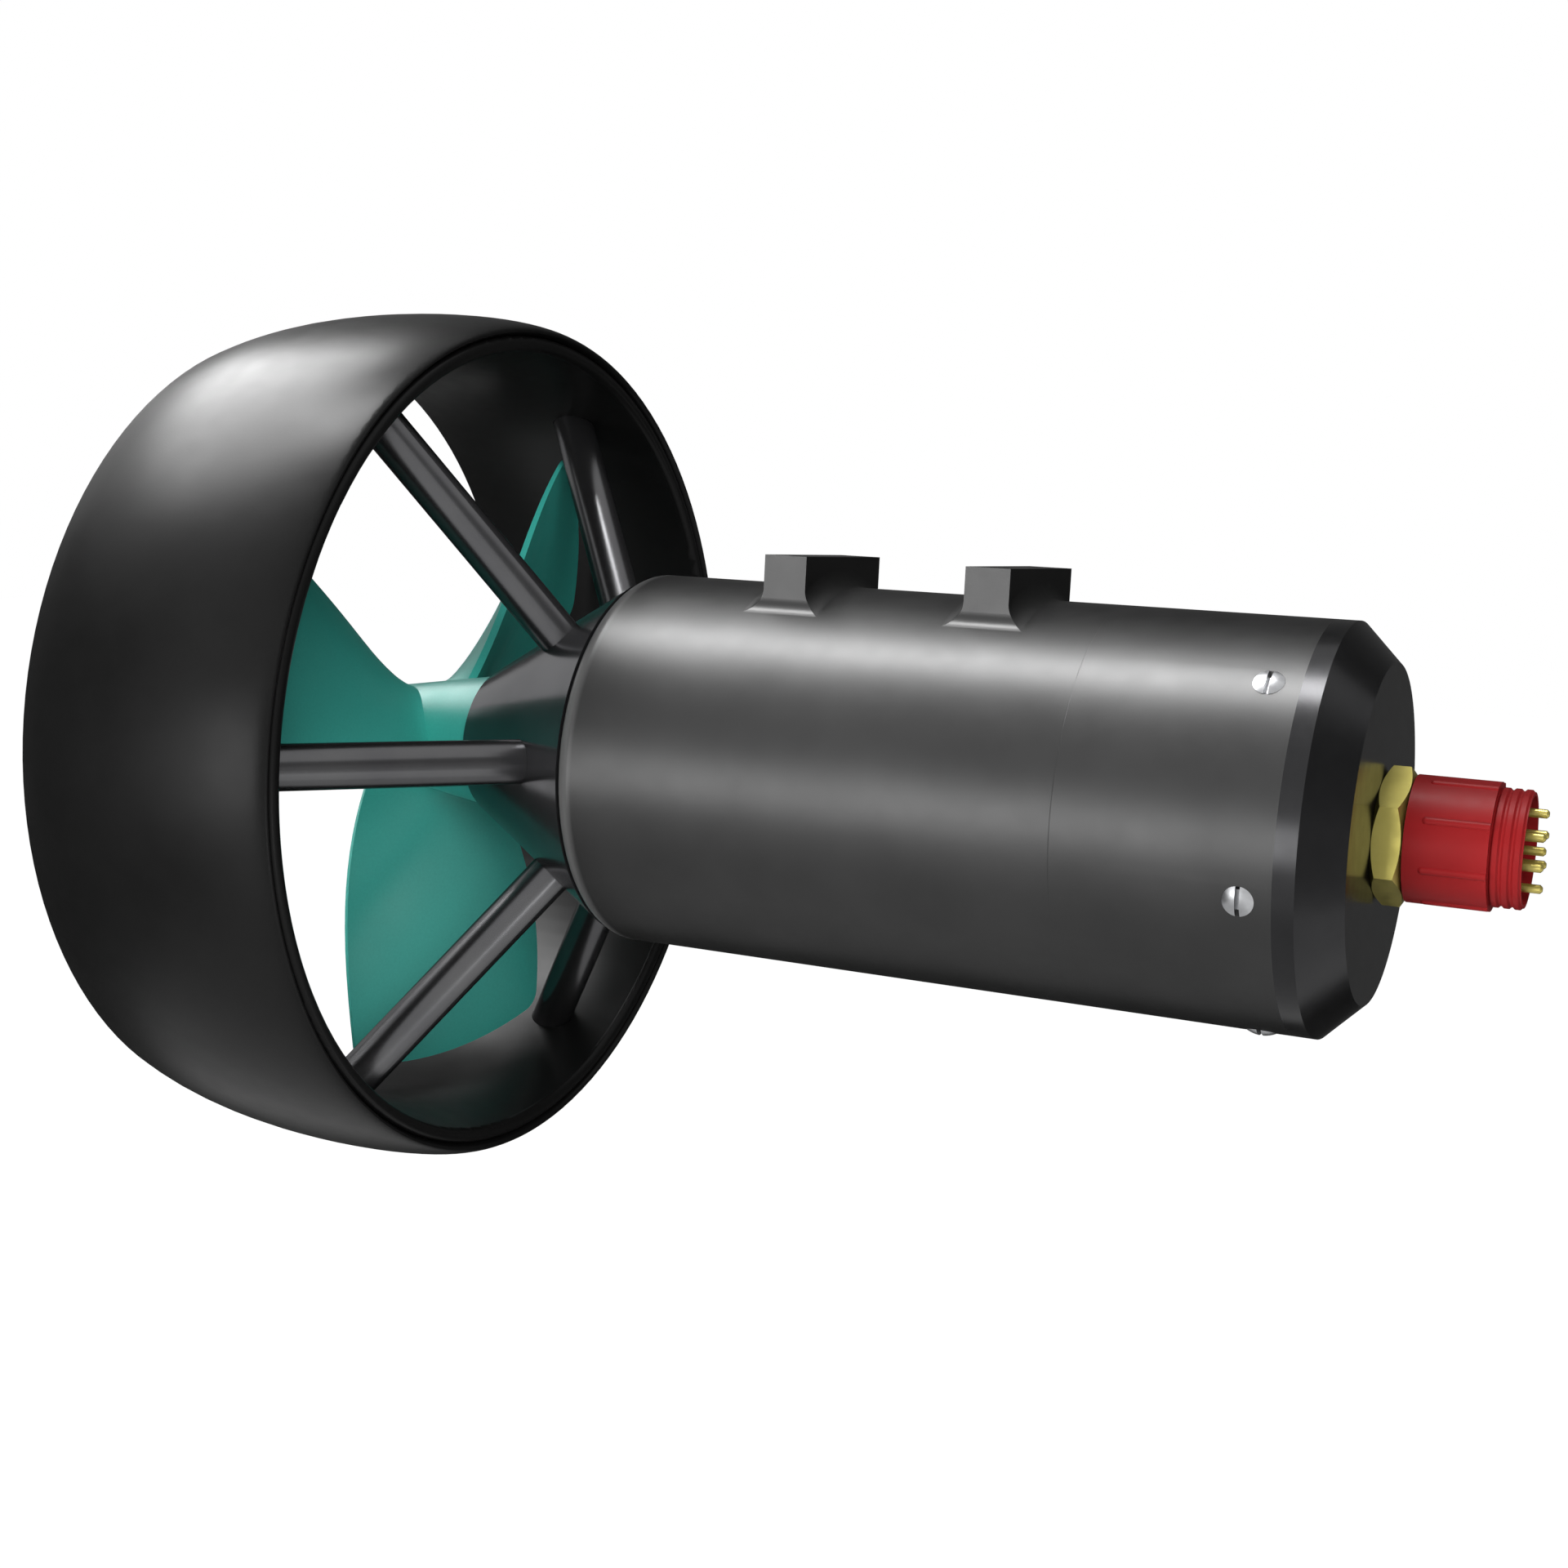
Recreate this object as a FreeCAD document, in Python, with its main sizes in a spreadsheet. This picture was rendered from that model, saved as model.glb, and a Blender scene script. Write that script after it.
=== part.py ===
import FreeCAD, Part
import math
import os
import Sketcher

Vector = FreeCAD.Vector
Rotation = FreeCAD.Rotation
Placement = FreeCAD.Placement

# Driving dimensions, in millimetres and degrees.
# Stations along the thruster are counted from the seam between the rear tube and the end cap,
# positive towards the connector. Radii are counted from the thruster's axis.
SIZES = [
    ("housing_radius", 38, "outer radius of both housing tubes"),
    ("housing_wall", 7, "wall of both housing tubes"),
    ("motor_tube_length", 90.6, "front tube, from its front face to the joint between the tubes"),
    ("rear_tube_length", 49.2, "rear tube, from the joint to the end cap"),
    ("housing_rounding", 3, "rounding of the front edge of the housing"),
    ("bulkhead", 8, "front wall of the motor housing"),
    ("joint_spigot_length", 10, "spigot of the front tube inside the rear tube"),
    ("joint_spigot_wall", 4, "wall of that spigot"),
    ("stator_shoulder", 2, "step in the bore that the stator rests on"),
    ("fit", 0.05, "radial clearance between parts that are pushed together"),
    ("running_fit", 0.1, "radial clearance of parts that turn on one another"),
    ("cord", 2, "thickness of the large O-rings"),
    ("groove_play", 0.6, "groove width beyond the O-ring"),
    ("lug_middle", 81.3, "seam to the middle between the two mounting lugs"),
    ("lug_spacing", 41.2, "centre distance of the two lugs"),
    ("lug_width", 8.8, "lug along the axis"),
    ("lug_length", 35.6, "lug across the axis"),
    ("lug_top", 43.85, "height of the lug's top face above the axis"),
    ("lug_flare", 3.4, "spread of the lug's foot on each side"),
    ("lug_hole_spacing", 24, "centre distance of the two threaded holes of a lug"),
    ("lug_hole_radius", 2, "M4 threaded hole"),
    ("lug_hole_depth", 9, "depth of the threaded hole"),
    ("cone_length", 35.8, "nose cone, from the housing's front face to its small end"),
    ("cone_base_radius", 37, "radius at the foot of the nose cone"),
    ("cone_tip_radius", 15.6, "radius of the small end of the nose cone"),
    ("cone_spigot_length", 6, "length of the cone's spigot"),
    ("cone_screw_clearance", 1, "clearance beside the heads of the cone screws"),
    ("cone_screw_count", 6, "screws that hold the cone"),
    ("cone_screw_radius", 2, "M4 cone screw"),
    ("cone_screw_depth", 9, "thread of the cone screw inside the cone"),
    ("cone_screw_head", 3.5, "radius of the head of the cone screw"),
    ("cone_screw_head_height", 4, "height of the head of the cone screw"),
    ("strut_count", 6, "struts between the cone and the duct"),
    ("strut_radius", 4.5, "radius of a strut"),
    ("strut_lean", 31, "lean of a strut towards the propeller"),
    ("strut_setback", 16.6, "duct's rear rim to where a strut's axis reaches the rim's radius"),
    ("strut_socket", 6, "depth of the strut's socket in the cone"),
    ("strut_duct_socket", 4.5, "depth of the strut's socket in the duct"),
    ("duct_front", 148.0, "middle of the lugs to the duct's front edge"),
    ("duct_front_radius", 84.3, "radius of the duct's front edge"),
    ("duct_front_edge", 0.6, "thickness of the duct's front edge"),
    ("duct_rear", 89.6, "middle of the lugs to the centre of the duct's rear rim"),
    ("duct_rim_radius", 84.2, "radius of the centre of the duct's rear rim"),
    ("duct_rim_round", 1.63, "rounding radius of the duct's rear rim"),
    ("duct_throat_sag", 4.3, "depth of the duct's curved inner wall"),
    ("duct_front_lean", 24.6, "length of the front control arm of the outer wall"),
    ("duct_front_rise", 9.05, "rise of the front control arm of the outer wall"),
    ("duct_rear_lean", 11.1, "length of the rear control arm of the outer wall"),
    ("duct_rear_rise", 3.4, "rise of the rear control arm of the outer wall"),
    ("hub_gap", 1, "gap between the nose cone and the propeller hub"),
    ("hub_length", 29.7, "length of the propeller hub"),
    ("hub_rear_radius", 14.2, "radius of the hub next to the cone"),
    ("hub_front_radius", 9.6, "radius of the hub at its front"),
    ("blade_count", 3, "blades of the propeller"),
    ("blade_phase", 274.3, "angle of the first blade's middle at the hub"),
    ("blade_setback", 19.3, "cone's small end to the blade's middle at the hub"),
    ("tip_radius", 73.8, "radius of the blade tips"),
    ("tip_rounding", 4.5, "rounding of the corners of a blade's tip"),
    ("root_edge", 1.7, "thickness of the blade's blunt edges at the hub"),
    ("tip_edge", 0.9, "the same thickness at the tip"),
    ("root_thickness", 7.3, "greatest thickness of the blade at the hub"),
    ("middle_thickness", 4.1, "the same thickness half way out"),
    ("tip_thickness", 1.6, "the same thickness at the tip"),
    ("root_flare", 2, "spread and height of the flare where the blade leaves the hub"),
    ("root_chord", 29.2, "chord of the blade at the hub"),
    ("middle_chord", 46.9, "chord of the blade half way out"),
    ("tip_chord", 51.9, "chord of the blade at the tip"),
    ("root_angle", 41.2, "angle of the blade's chord to the plane of rotation at the hub"),
    ("middle_angle", 27.5, "the same angle half way out"),
    ("tip_angle", 17.3, "the same angle at the tip"),
    ("middle_skew", 4.15, "turn of the blade's middle from the hub to half way out"),
    ("tip_skew", 4.1, "turn of the blade's middle from the hub to the tip"),
    ("tip_lean", 0.6, "lean of the blade's middle at the tip, towards the cone"),
    ("shaft_radius", 5, "radius of the shaft in the bearings and the hub"),
    ("rotor_seat_radius", 6.5, "radius of the shaft inside the rotor"),
    ("shaft_thread_radius", 4, "M8 thread at the front of the shaft"),
    ("shaft_front_reach", 3, "shaft in front of the propeller nut"),
    ("shaft_rear_reach", 1, "shaft behind the rear bearing"),
    ("washer_radius", 8.4, "radius of the washer under the propeller nut"),
    ("washer_thickness", 1.6, "thickness of that washer"),
    ("nut_flats", 13, "propeller nut across flats"),
    ("nut_height", 6.5, "height of the propeller nut"),
    ("pin_radius", 1.5, "radius of the drive pin"),
    ("pin_length", 21, "length of the drive pin"),
    ("pin_setback", 2.5, "hub's rear face to the drive pin"),
    ("seal_radius", 10, "outer radius of the shaft seal"),
    ("seal_width", 6, "width of the shaft seal"),
    ("seal_recess", 0.5, "cone's small end to the seal"),
    ("bearing_radius", 13, "outer radius of both bearings"),
    ("bearing_width", 8, "width of both bearings"),
    ("bearing_setback", 17.6, "cone's small end to the front bearing"),
    ("race_thickness", 2.4, "thickness of the bearing races"),
    ("ball_radius", 2.3, "radius of the bearing balls"),
    ("ball_count", 7, "balls in each bearing"),
    ("retainer_thickness", 1.2, "thickness of the bearing's retaining ring"),
    ("retainer_depth", 0.7, "depth of the groove of that ring"),
    ("stator_length", 40, "length of the stator core"),
    ("stator_setback", 11.8, "bulkhead's inner face to the stator"),
    ("stator_yoke", 4.5, "thickness of the stator's outer ring"),
    ("tooth_count", 9, "teeth of the stator"),
    ("tooth_width", 5, "width of a stator tooth"),
    ("coil_thickness", 2.5, "thickness of a coil beside its tooth"),
    ("coil_overhang", 4, "reach of a coil beyond the stator's end"),
    ("rotor_inset", 3.75, "middle between the shaft and the bore to the outside of the magnets"),
    ("magnet_thickness", 2.5, "thickness of the rotor magnets"),
    ("magnet_count", 6, "magnets on the rotor"),
    ("magnet_gap", 3, "gap between two magnets"),
    ("air_gap", 0.5, "gap between the magnets and the stator teeth"),
    ("coil_standoff", 2, "gap between the air gap and the coils"),
    ("coil_clearance", 1.5, "gap between the coils and the stator's outer ring"),
    ("plate_skirt", 10, "skirt of the bearing plate that holds the stator"),
    ("plate_skirt_wall", 3, "wall of that skirt"),
    ("plate_lip", 2, "lip of the bearing plate behind the bearing"),
    ("plate_ring_thickness", 1.5, "thickness of the plate's retaining ring"),
    ("plate_ring_depth", 1.2, "depth of the groove of that ring"),
    ("plate_ring_width", 2.5, "reach of that ring into the bore"),
    ("lead_count", 3, "leads of the motor"),
    ("lead_radius", 1.5, "radius of a motor lead"),
    ("lead_hole_radius", 3, "holes in the bearing plate for the motor leads"),
    ("lead_hole_circle", 22, "radius of the circle of these holes"),
    ("standoff_length", 16, "length of the board's standoffs"),
    ("standoff_radius", 3, "radius of the board's standoffs"),
    ("standoff_circle", 20, "radius of the circle of the standoffs"),
    ("standoff_count", 4, "standoffs of the board"),
    ("board_radius", 27, "radius of the controller board"),
    ("board_thickness", 1.6, "thickness of the controller board"),
    ("board_screw_radius", 1.5, "M3 board screw"),
    ("board_screw_head", 2.75, "radius of the head of the board screw"),
    ("board_screw_head_height", 2, "height of the head of the board screw"),
    ("board_screw_length", 8, "length of the board screw under its head"),
    ("capacitor_radius", 4, "radius of a capacitor"),
    ("capacitor_height", 12, "height of a capacitor"),
    ("capacitor_circle", 12.5, "radius of the circle of the capacitors"),
    ("capacitor_count", 3, "capacitors on the board"),
    ("cap_band", 3.8, "width of the cap's band at full radius"),
    ("cap_length", 10.8, "end cap behind the seam"),
    ("cap_face_radius", 31, "radius of the cap's flat face"),
    ("cap_spigot_length", 20, "spigot of the cap inside the rear tube"),
    ("cap_spigot_wall", 6, "wall of the cap's spigot"),
    ("cap_ring_first", 11.5, "seam to the first O-ring of the cap"),
    ("cap_ring_second", 16, "seam to the second O-ring of the cap"),
    ("cap_screw_station", 5.66, "seam to the cap screws"),
    ("cap_screw_phase", 43.65, "turn of the first cap screw from the top"),
    ("cap_screw_count", 6, "screws round the end cap"),
    ("cap_screw_radius", 1.5, "M3 cap screw"),
    ("cap_screw_head", 2.75, "radius of the countersunk head"),
    ("cap_screw_dome", 0.75, "rise of the raised head above the housing"),
    ("cap_screw_slot", 0.8, "width of the screw slot"),
    ("cap_screw_slot_depth", 0.9, "depth of the screw slot below the housing's surface"),
    ("cap_screw_length", 12, "length of the cap screw below the surface"),
    ("hex_flats", 22, "connector hexagon across flats"),
    ("hex_height", 5.2, "height of the connector hexagon"),
    ("hex_chamfer", 0.5, "chamfer on the corners of the hexagon"),
    ("shank_radius", 9, "M18 shank of the connector"),
    ("shank_length", 17.5, "shank of the connector in front of the hexagon"),
    ("barrel_radius", 8.9, "barrel of the connector inside the sleeve"),
    ("barrel_length", 5, "length of the barrel behind the hexagon"),
    ("insert_radius", 7.7, "radius of the contact insert"),
    ("insert_depth", 5, "insert in front of the hexagon's front face"),
    ("insert_reach", 3, "insert behind the barrel's end"),
    ("connector_cord", 1.2, "thickness of the connector's O-ring"),
    ("lock_nut_flats", 24, "lock nut across flats"),
    ("lock_nut_height", 5, "height of the lock nut"),
    ("contact_radius", 0.8, "radius of a contact pin"),
    ("contact_tip", 38.9, "seam to the tips of the contact pins"),
    ("contact_tail", 4, "tail of a contact pin in front of the insert"),
    ("contact_circle", 6.65, "radius of the two outermost contacts"),
    ("contact_inner", 3.45, "radius of the circle of the other contacts"),
    ("contact_lead_radius", 0.6, "radius of a lead between the board and a contact"),
    ("sleeve_gap", 0.3, "gap between the hexagon and the locking sleeve"),
    ("sleeve_radius", 11.5, "outer radius of the locking sleeve"),
    ("sleeve_body", 14.3, "length of the thick part of the sleeve"),
    ("sleeve_length", 19.9, "whole length of the locking sleeve"),
    ("sleeve_bore", 9.6, "bore of the sleeve"),
    ("sleeve_shoulder", 2, "inner shoulder of the sleeve"),
    ("sleeve_thread_radius", 10.6, "crest of the ridges at the sleeve's mouth"),
    ("sleeve_thread_depth", 0.35, "depth between these ridges"),
    ("sleeve_ridge_count", 3, "ridges at the sleeve's mouth"),
    ("sleeve_ridge_width", 0.85, "width of a ridge's crest"),
    ("sleeve_ridge_lead", 0.5, "end of the thick part to the first crest"),
    ("sleeve_rib_count", 8, "ribs round the sleeve"),
    ("sleeve_rib_phase", 21, "turn of the first rib from the top"),
    ("sleeve_rib_width", 1.7, "width of a rib"),
    ("sleeve_rib_rise", 0.4, "rise of a rib"),
    ("sleeve_rib_start", 2.7, "sleeve's end to the start of the ribs"),
    ("snap_ring_thickness", 0.9, "thickness of the ring that holds the sleeve"),
    ("snap_ring_depth", 0.55, "depth of its groove in the barrel"),
    ("snap_ring_rise", 0.5, "rise of that ring above the barrel"),
]

# Values that aren't sizes of one piece
FULL_TURN = 360
QUARTER_TURN = 90
BORE_RUN_OUT = 2
GROOVE_RUN_OUT = 0.5
EIGHTH_TURN = 45
HEX_SIDES = 6
HALF_SIDE = 30
INNER_CONTACT_TURNS = (50, 130, 230, 310)
SECTION_POINTS = 9
BLADE_STATIONS = 7
WALL_SEARCHES = 20
TOUCH = 0.001

doc = FreeCAD.newDocument("underwater_thruster")
sheet = doc.addObject("Spreadsheet::Sheet", "Sizes")
for row, (alias, value, meaning) in enumerate(SIZES, start=1):
    sheet.set("A%d" % row, meaning)
    sheet.set("B%d" % row, str(value))
    sheet.setAlias("B%d" % row, alias)
doc.recompute()


class Size:
    """A number together with the spreadsheet expression that gives it."""

    def __init__(self, value, formula=None):
        self.value = float(value)
        self.formula = formula or "(%r)" % float(value)

    def combine(self, other, value, sign):
        return Size(value, "(%s %s %s)" % (self.formula, sign, other.formula))

    def __add__(self, other):
        other = size_of(other)
        return self.combine(other, self.value + other.value, "+")

    def __sub__(self, other):
        other = size_of(other)
        return self.combine(other, self.value - other.value, "-")

    def __mul__(self, other):
        other = size_of(other)
        return self.combine(other, self.value * other.value, "*")

    def __truediv__(self, other):
        other = size_of(other)
        return self.combine(other, self.value / other.value, "/")

    def __radd__(self, other):
        return size_of(other) + self

    def __rsub__(self, other):
        return size_of(other) - self

    def __rmul__(self, other):
        return size_of(other) * self

    def __neg__(self):
        return size_of(0) - self


def size_of(number):
    return number if isinstance(number, Size) else Size(number)


class Sheet:
    """Gives each spreadsheet value as a Size."""

    def __getattr__(self, alias):
        return Size(sheet.get(alias), "Sizes.%s" % alias)


def sine(angle):
    return Size(math.sin(math.radians(angle.value)), "sin(%s)" % angle.formula)


def cosine(angle):
    return Size(math.cos(math.radians(angle.value)), "cos(%s)" % angle.formula)


def tangent(angle):
    return Size(math.tan(math.radians(angle.value)), "tan(%s)" % angle.formula)


def root(number):
    return Size(math.sqrt(number.value), "sqrt(%s)" % number.formula)


s = Sheet()

# Stations and radii that several pieces share
joint_station = -s.rear_tube_length
housing_front = joint_station - s.motor_tube_length
cone_front = housing_front - s.cone_length
bulkhead_rear = housing_front + s.bulkhead
bore_radius = s.housing_radius - s.housing_wall
cone_slope = (s.cone_base_radius - s.cone_tip_radius) / s.cone_length
hub_rear = cone_front - s.hub_gap
hub_front = hub_rear - s.hub_length
washer_front = hub_front - s.washer_thickness
nut_front = washer_front - s.nut_height
pin_station = hub_rear - s.pin_setback
seal_front = cone_front + s.seal_recess
bearing_front = cone_front + s.bearing_setback
bearing_rear = bearing_front + s.bearing_width
stator_front = bulkhead_rear + s.stator_setback
stator_rear = stator_front + s.stator_length
plate_front = stator_rear + s.plate_skirt
rear_bearing_rear = plate_front + s.bearing_width
plate_rear = rear_bearing_rear + s.plate_lip
plate_ring_rear = plate_rear + s.plate_ring_thickness
board_front = plate_rear + s.standoff_length
board_rear = board_front + s.board_thickness
joint_ring_station = joint_station + s.joint_spigot_length / 2
cone_ring_station = housing_front + s.cone_spigot_length / 2
hex_rear = s.cap_length + s.hex_height
barrel_rear = hex_rear + s.barrel_length
insert_front = s.cap_length - s.insert_depth
insert_rear = barrel_rear + s.insert_reach
sleeve_front = hex_rear + s.sleeve_gap
snap_ring_front = sleeve_front + s.sleeve_shoulder + s.running_fit
contact_front = insert_front - s.contact_tail
shoulder_radius = bore_radius - s.stator_shoulder
cone_screw_circle = shoulder_radius - s.cone_screw_head - s.cone_screw_clearance
cone_spigot_radius = cone_screw_circle - s.cone_screw_head - s.cone_screw_clearance
rotor_radius = (bore_radius + s.rotor_seat_radius) / 2 - s.rotor_inset
coil_rear = stator_rear + s.coil_overhang
duct_front_station = -s.lug_middle - s.duct_front
duct_rim_station = -s.lug_middle - s.duct_rear
axis_height = -s.lug_top


def checked(thing):
    doc.recompute()
    if "Invalid" in thing.State or "Error" in thing.State:
        raise RuntimeError("%s failed: %s" % (thing.Label, thing.State))
    return thing


def bind(thing, field, length):
    thing.setExpression(field, size_of(length).formula)


def place(thing, station=0, turn=None):
    """Puts a thing built on the thruster's own axis into the part's frame, turned about that axis."""
    thing.Placement = Placement(Vector(), Rotation(Vector(1, 0, 0), 0))
    bind(thing, "Placement.Base.x", size_of(station) + s.lug_middle)
    bind(thing, "Placement.Base.z", axis_height)
    if turn is not None:
        bind(thing, "Placement.Rotation.Angle", turn)


def new_body(label, turn=None):
    body = doc.addObject("PartDesign::Body", label)
    body.Label = label
    place(body, 0, turn)
    return body


def origin_feature(body, role):
    return [feature for feature in body.Origin.OriginFeatures if feature.Role == role][0]


def new_sketch(body, name, plane="XZ_Plane", offset=None, turn=None):
    """Sketch on a plane of the body, moved along its normal or turned about the thruster's axis."""
    sketch = body.newObject("Sketcher::SketchObject", name)
    sketch.AttachmentSupport = (origin_feature(body, plane), [""])
    sketch.MapMode = "FlatFace"
    sketch.AttachmentOffset = Placement(Vector(), Rotation(Vector(1, 0, 0), 0))
    if turn is not None:
        bind(sketch, "AttachmentOffset.Rotation.Angle", turn)
    if offset is not None:
        bind(sketch, "AttachmentOffset.Base.z", offset)
    return sketch


def fix(sketch, kind, geometry, end, length):
    index = sketch.addConstraint(Sketcher.Constraint(kind, -1, 1, geometry, end, size_of(length).value))
    sketch.setExpression("Constraints[%d]" % index, size_of(length).formula)


def flat(x, y):
    return Vector(size_of(x).value, size_of(y).value, 0)


def arc_middle(start, finish, radius):
    """Middle of the arc between two points. A negative radius bulges to the right of the way."""
    way = finish - start
    half = way.Length / 2
    sag = abs(radius) - math.sqrt(radius * radius - half * half)
    side = Vector(-way.y, way.x, 0).normalize()
    return (start + finish) * 0.5 + side * math.copysign(sag, radius)


def outline(sketch, corners):
    """Draws a closed outline. A corner is (x, y), or (x, y, radius) where an arc leaves it."""
    first = sketch.GeometryCount
    count = len(corners)
    points = [flat(corner[0], corner[1]) for corner in corners]
    for index, corner in enumerate(corners):
        start = points[index]
        finish = points[(index + 1) % count]
        if len(corner) == 2:
            sketch.addGeometry(Part.LineSegment(start, finish))
        else:
            radius = size_of(corner[2])
            middle = arc_middle(start, finish, radius.value)
            arc = Part.Arc(start, middle, finish)
            sketch.addGeometry(arc)
    ends = []
    for index, corner in enumerate(corners):
        straight = len(corner) == 2
        turned_over = not straight and size_of(corner[2]).value > 0
        ends.append((2, 1) if turned_over else (1, 2))
    for index in range(count):
        follower = (index + 1) % count
        sketch.addConstraint(Sketcher.Constraint(
            "Coincident", first + index, ends[index][1], first + follower, ends[follower][0]))
    for index, corner in enumerate(corners):
        fix(sketch, "DistanceX", first + index, ends[index][0], corner[0])
        fix(sketch, "DistanceY", first + index, ends[index][0], corner[1])
        if len(corner) == 3:
            radius = size_of(corner[2])
            bend = radius if radius.value > 0 else -radius
            number = sketch.addConstraint(Sketcher.Constraint("Radius", first + index, bend.value))
            sketch.setExpression("Constraints[%d]" % number, bend.formula)


def rectangle(x_low, x_high, y_low, y_high):
    return [(x_low, y_low), (x_high, y_low), (x_high, y_high), (x_low, y_high)]


def circle(sketch, x, y, radius):
    index = sketch.addGeometry(Part.Circle(flat(x, y), Vector(0, 0, 1), size_of(radius).value))
    fix(sketch, "DistanceX", index, 3, x)
    fix(sketch, "DistanceY", index, 3, y)
    number = sketch.addConstraint(Sketcher.Constraint("Radius", index, size_of(radius).value))
    sketch.setExpression("Constraints[%d]" % number, size_of(radius).formula)


def turned(body, name, corners, kind="Revolution"):
    """Turns an outline of (station, radius) corners about the thruster's axis."""
    before = body.Shape.Volume if kind == "Groove" else 0
    sketch = new_sketch(body, name + "_profile")
    outline(sketch, corners)
    feature = body.newObject("PartDesign::" + kind, name)
    feature.Profile = sketch
    feature.ReferenceAxis = (sketch, ["H_Axis"])
    feature.Angle = FULL_TURN
    checked(feature)
    if kind == "Groove" and not body.Shape.Volume < before:
        raise RuntimeError(name + " cuts nothing")
    return feature


def extruded(body, name, sketch, length, kind="Pad", backwards=False, both_ways=False):
    before = body.Shape.Volume if kind == "Pocket" else 0
    feature = body.newObject("PartDesign::" + kind, name)
    feature.Profile = sketch
    bind(feature, "Length", length)
    feature.Reversed = backwards
    feature.Midplane = both_ways
    checked(feature)
    if kind == "Pocket" and not body.Shape.Volume < before:
        raise RuntimeError(name + " cuts nothing")
    return feature


def round_array(body, features, count):
    """Repeats features round the thruster's axis."""
    pattern = body.newObject("PartDesign::PolarPattern", features[0].Name + "_array")
    pattern.Originals = features
    pattern.Axis = (origin_feature(body, "X_Axis"), [""])
    pattern.Angle = FULL_TURN
    bind(pattern, "Occurrences", count)
    body.Tip = pattern
    return checked(pattern)


def row_array(body, features, spacing):
    """Repeats features once more along the thruster's axis, away from the connector."""
    pattern = body.newObject("PartDesign::LinearPattern", features[0].Name + "_row")
    pattern.Originals = features
    pattern.Direction = (origin_feature(body, "X_Axis"), [""])
    pattern.Reversed = True
    pattern.Occurrences = 2
    bind(pattern, "Length", spacing)
    body.Tip = pattern
    return checked(pattern)


def ring(label, station, inner, outer, width):
    """Plain ring that starts at a station and runs towards the connector."""
    body = new_body(label)
    turned(body, label + "_ring", rectangle(station, station + width, inner, outer))
    return body


def o_ring(label, station, middle_radius, cord_radius):
    seal = doc.addObject("Part::Torus", label)
    seal.Label = label
    bind(seal, "Radius1", middle_radius)
    bind(seal, "Radius2", cord_radius)
    seal.Placement = Placement(Vector(), Rotation(Vector(0, 1, 0), QUARTER_TURN))
    bind(seal, "Placement.Base.x", size_of(station) + s.lug_middle)
    bind(seal, "Placement.Base.z", axis_height)
    return checked(seal)


def groove_for_cord(body, name, station, opening_radius, bottom_radius, cord):
    """Rectangular groove round a shaft, as deep as its radii say and a little wider than the cord."""
    half = (cord + s.groove_play) / 2
    beyond = opening_radius + GROOVE_RUN_OUT
    turned(body, name, rectangle(station - half, station + half, bottom_radius, beyond), "Groove")


def lug_foot_edges(shape, station):
    """Edges at which the lugs leave the tube's surface."""
    feet = []
    for number, edge in enumerate(shape.Edges, start=1):
        points = [vertex.Point for vertex in edge.Vertexes]
        points.append(edge.valueAt((edge.FirstParameter + edge.LastParameter) / 2))
        for middle in (station, station - s.lug_spacing.value):
            beside = [abs(point.x - middle) < s.lug_width.value / 2 + TOUCH for point in points]
            on_tube = [abs(math.hypot(point.y, point.z) - s.housing_radius.value) < TOUCH for point in points]
            if all(beside) and all(on_tube):
                feet.append("Edge%d" % number)
    return feet


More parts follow.
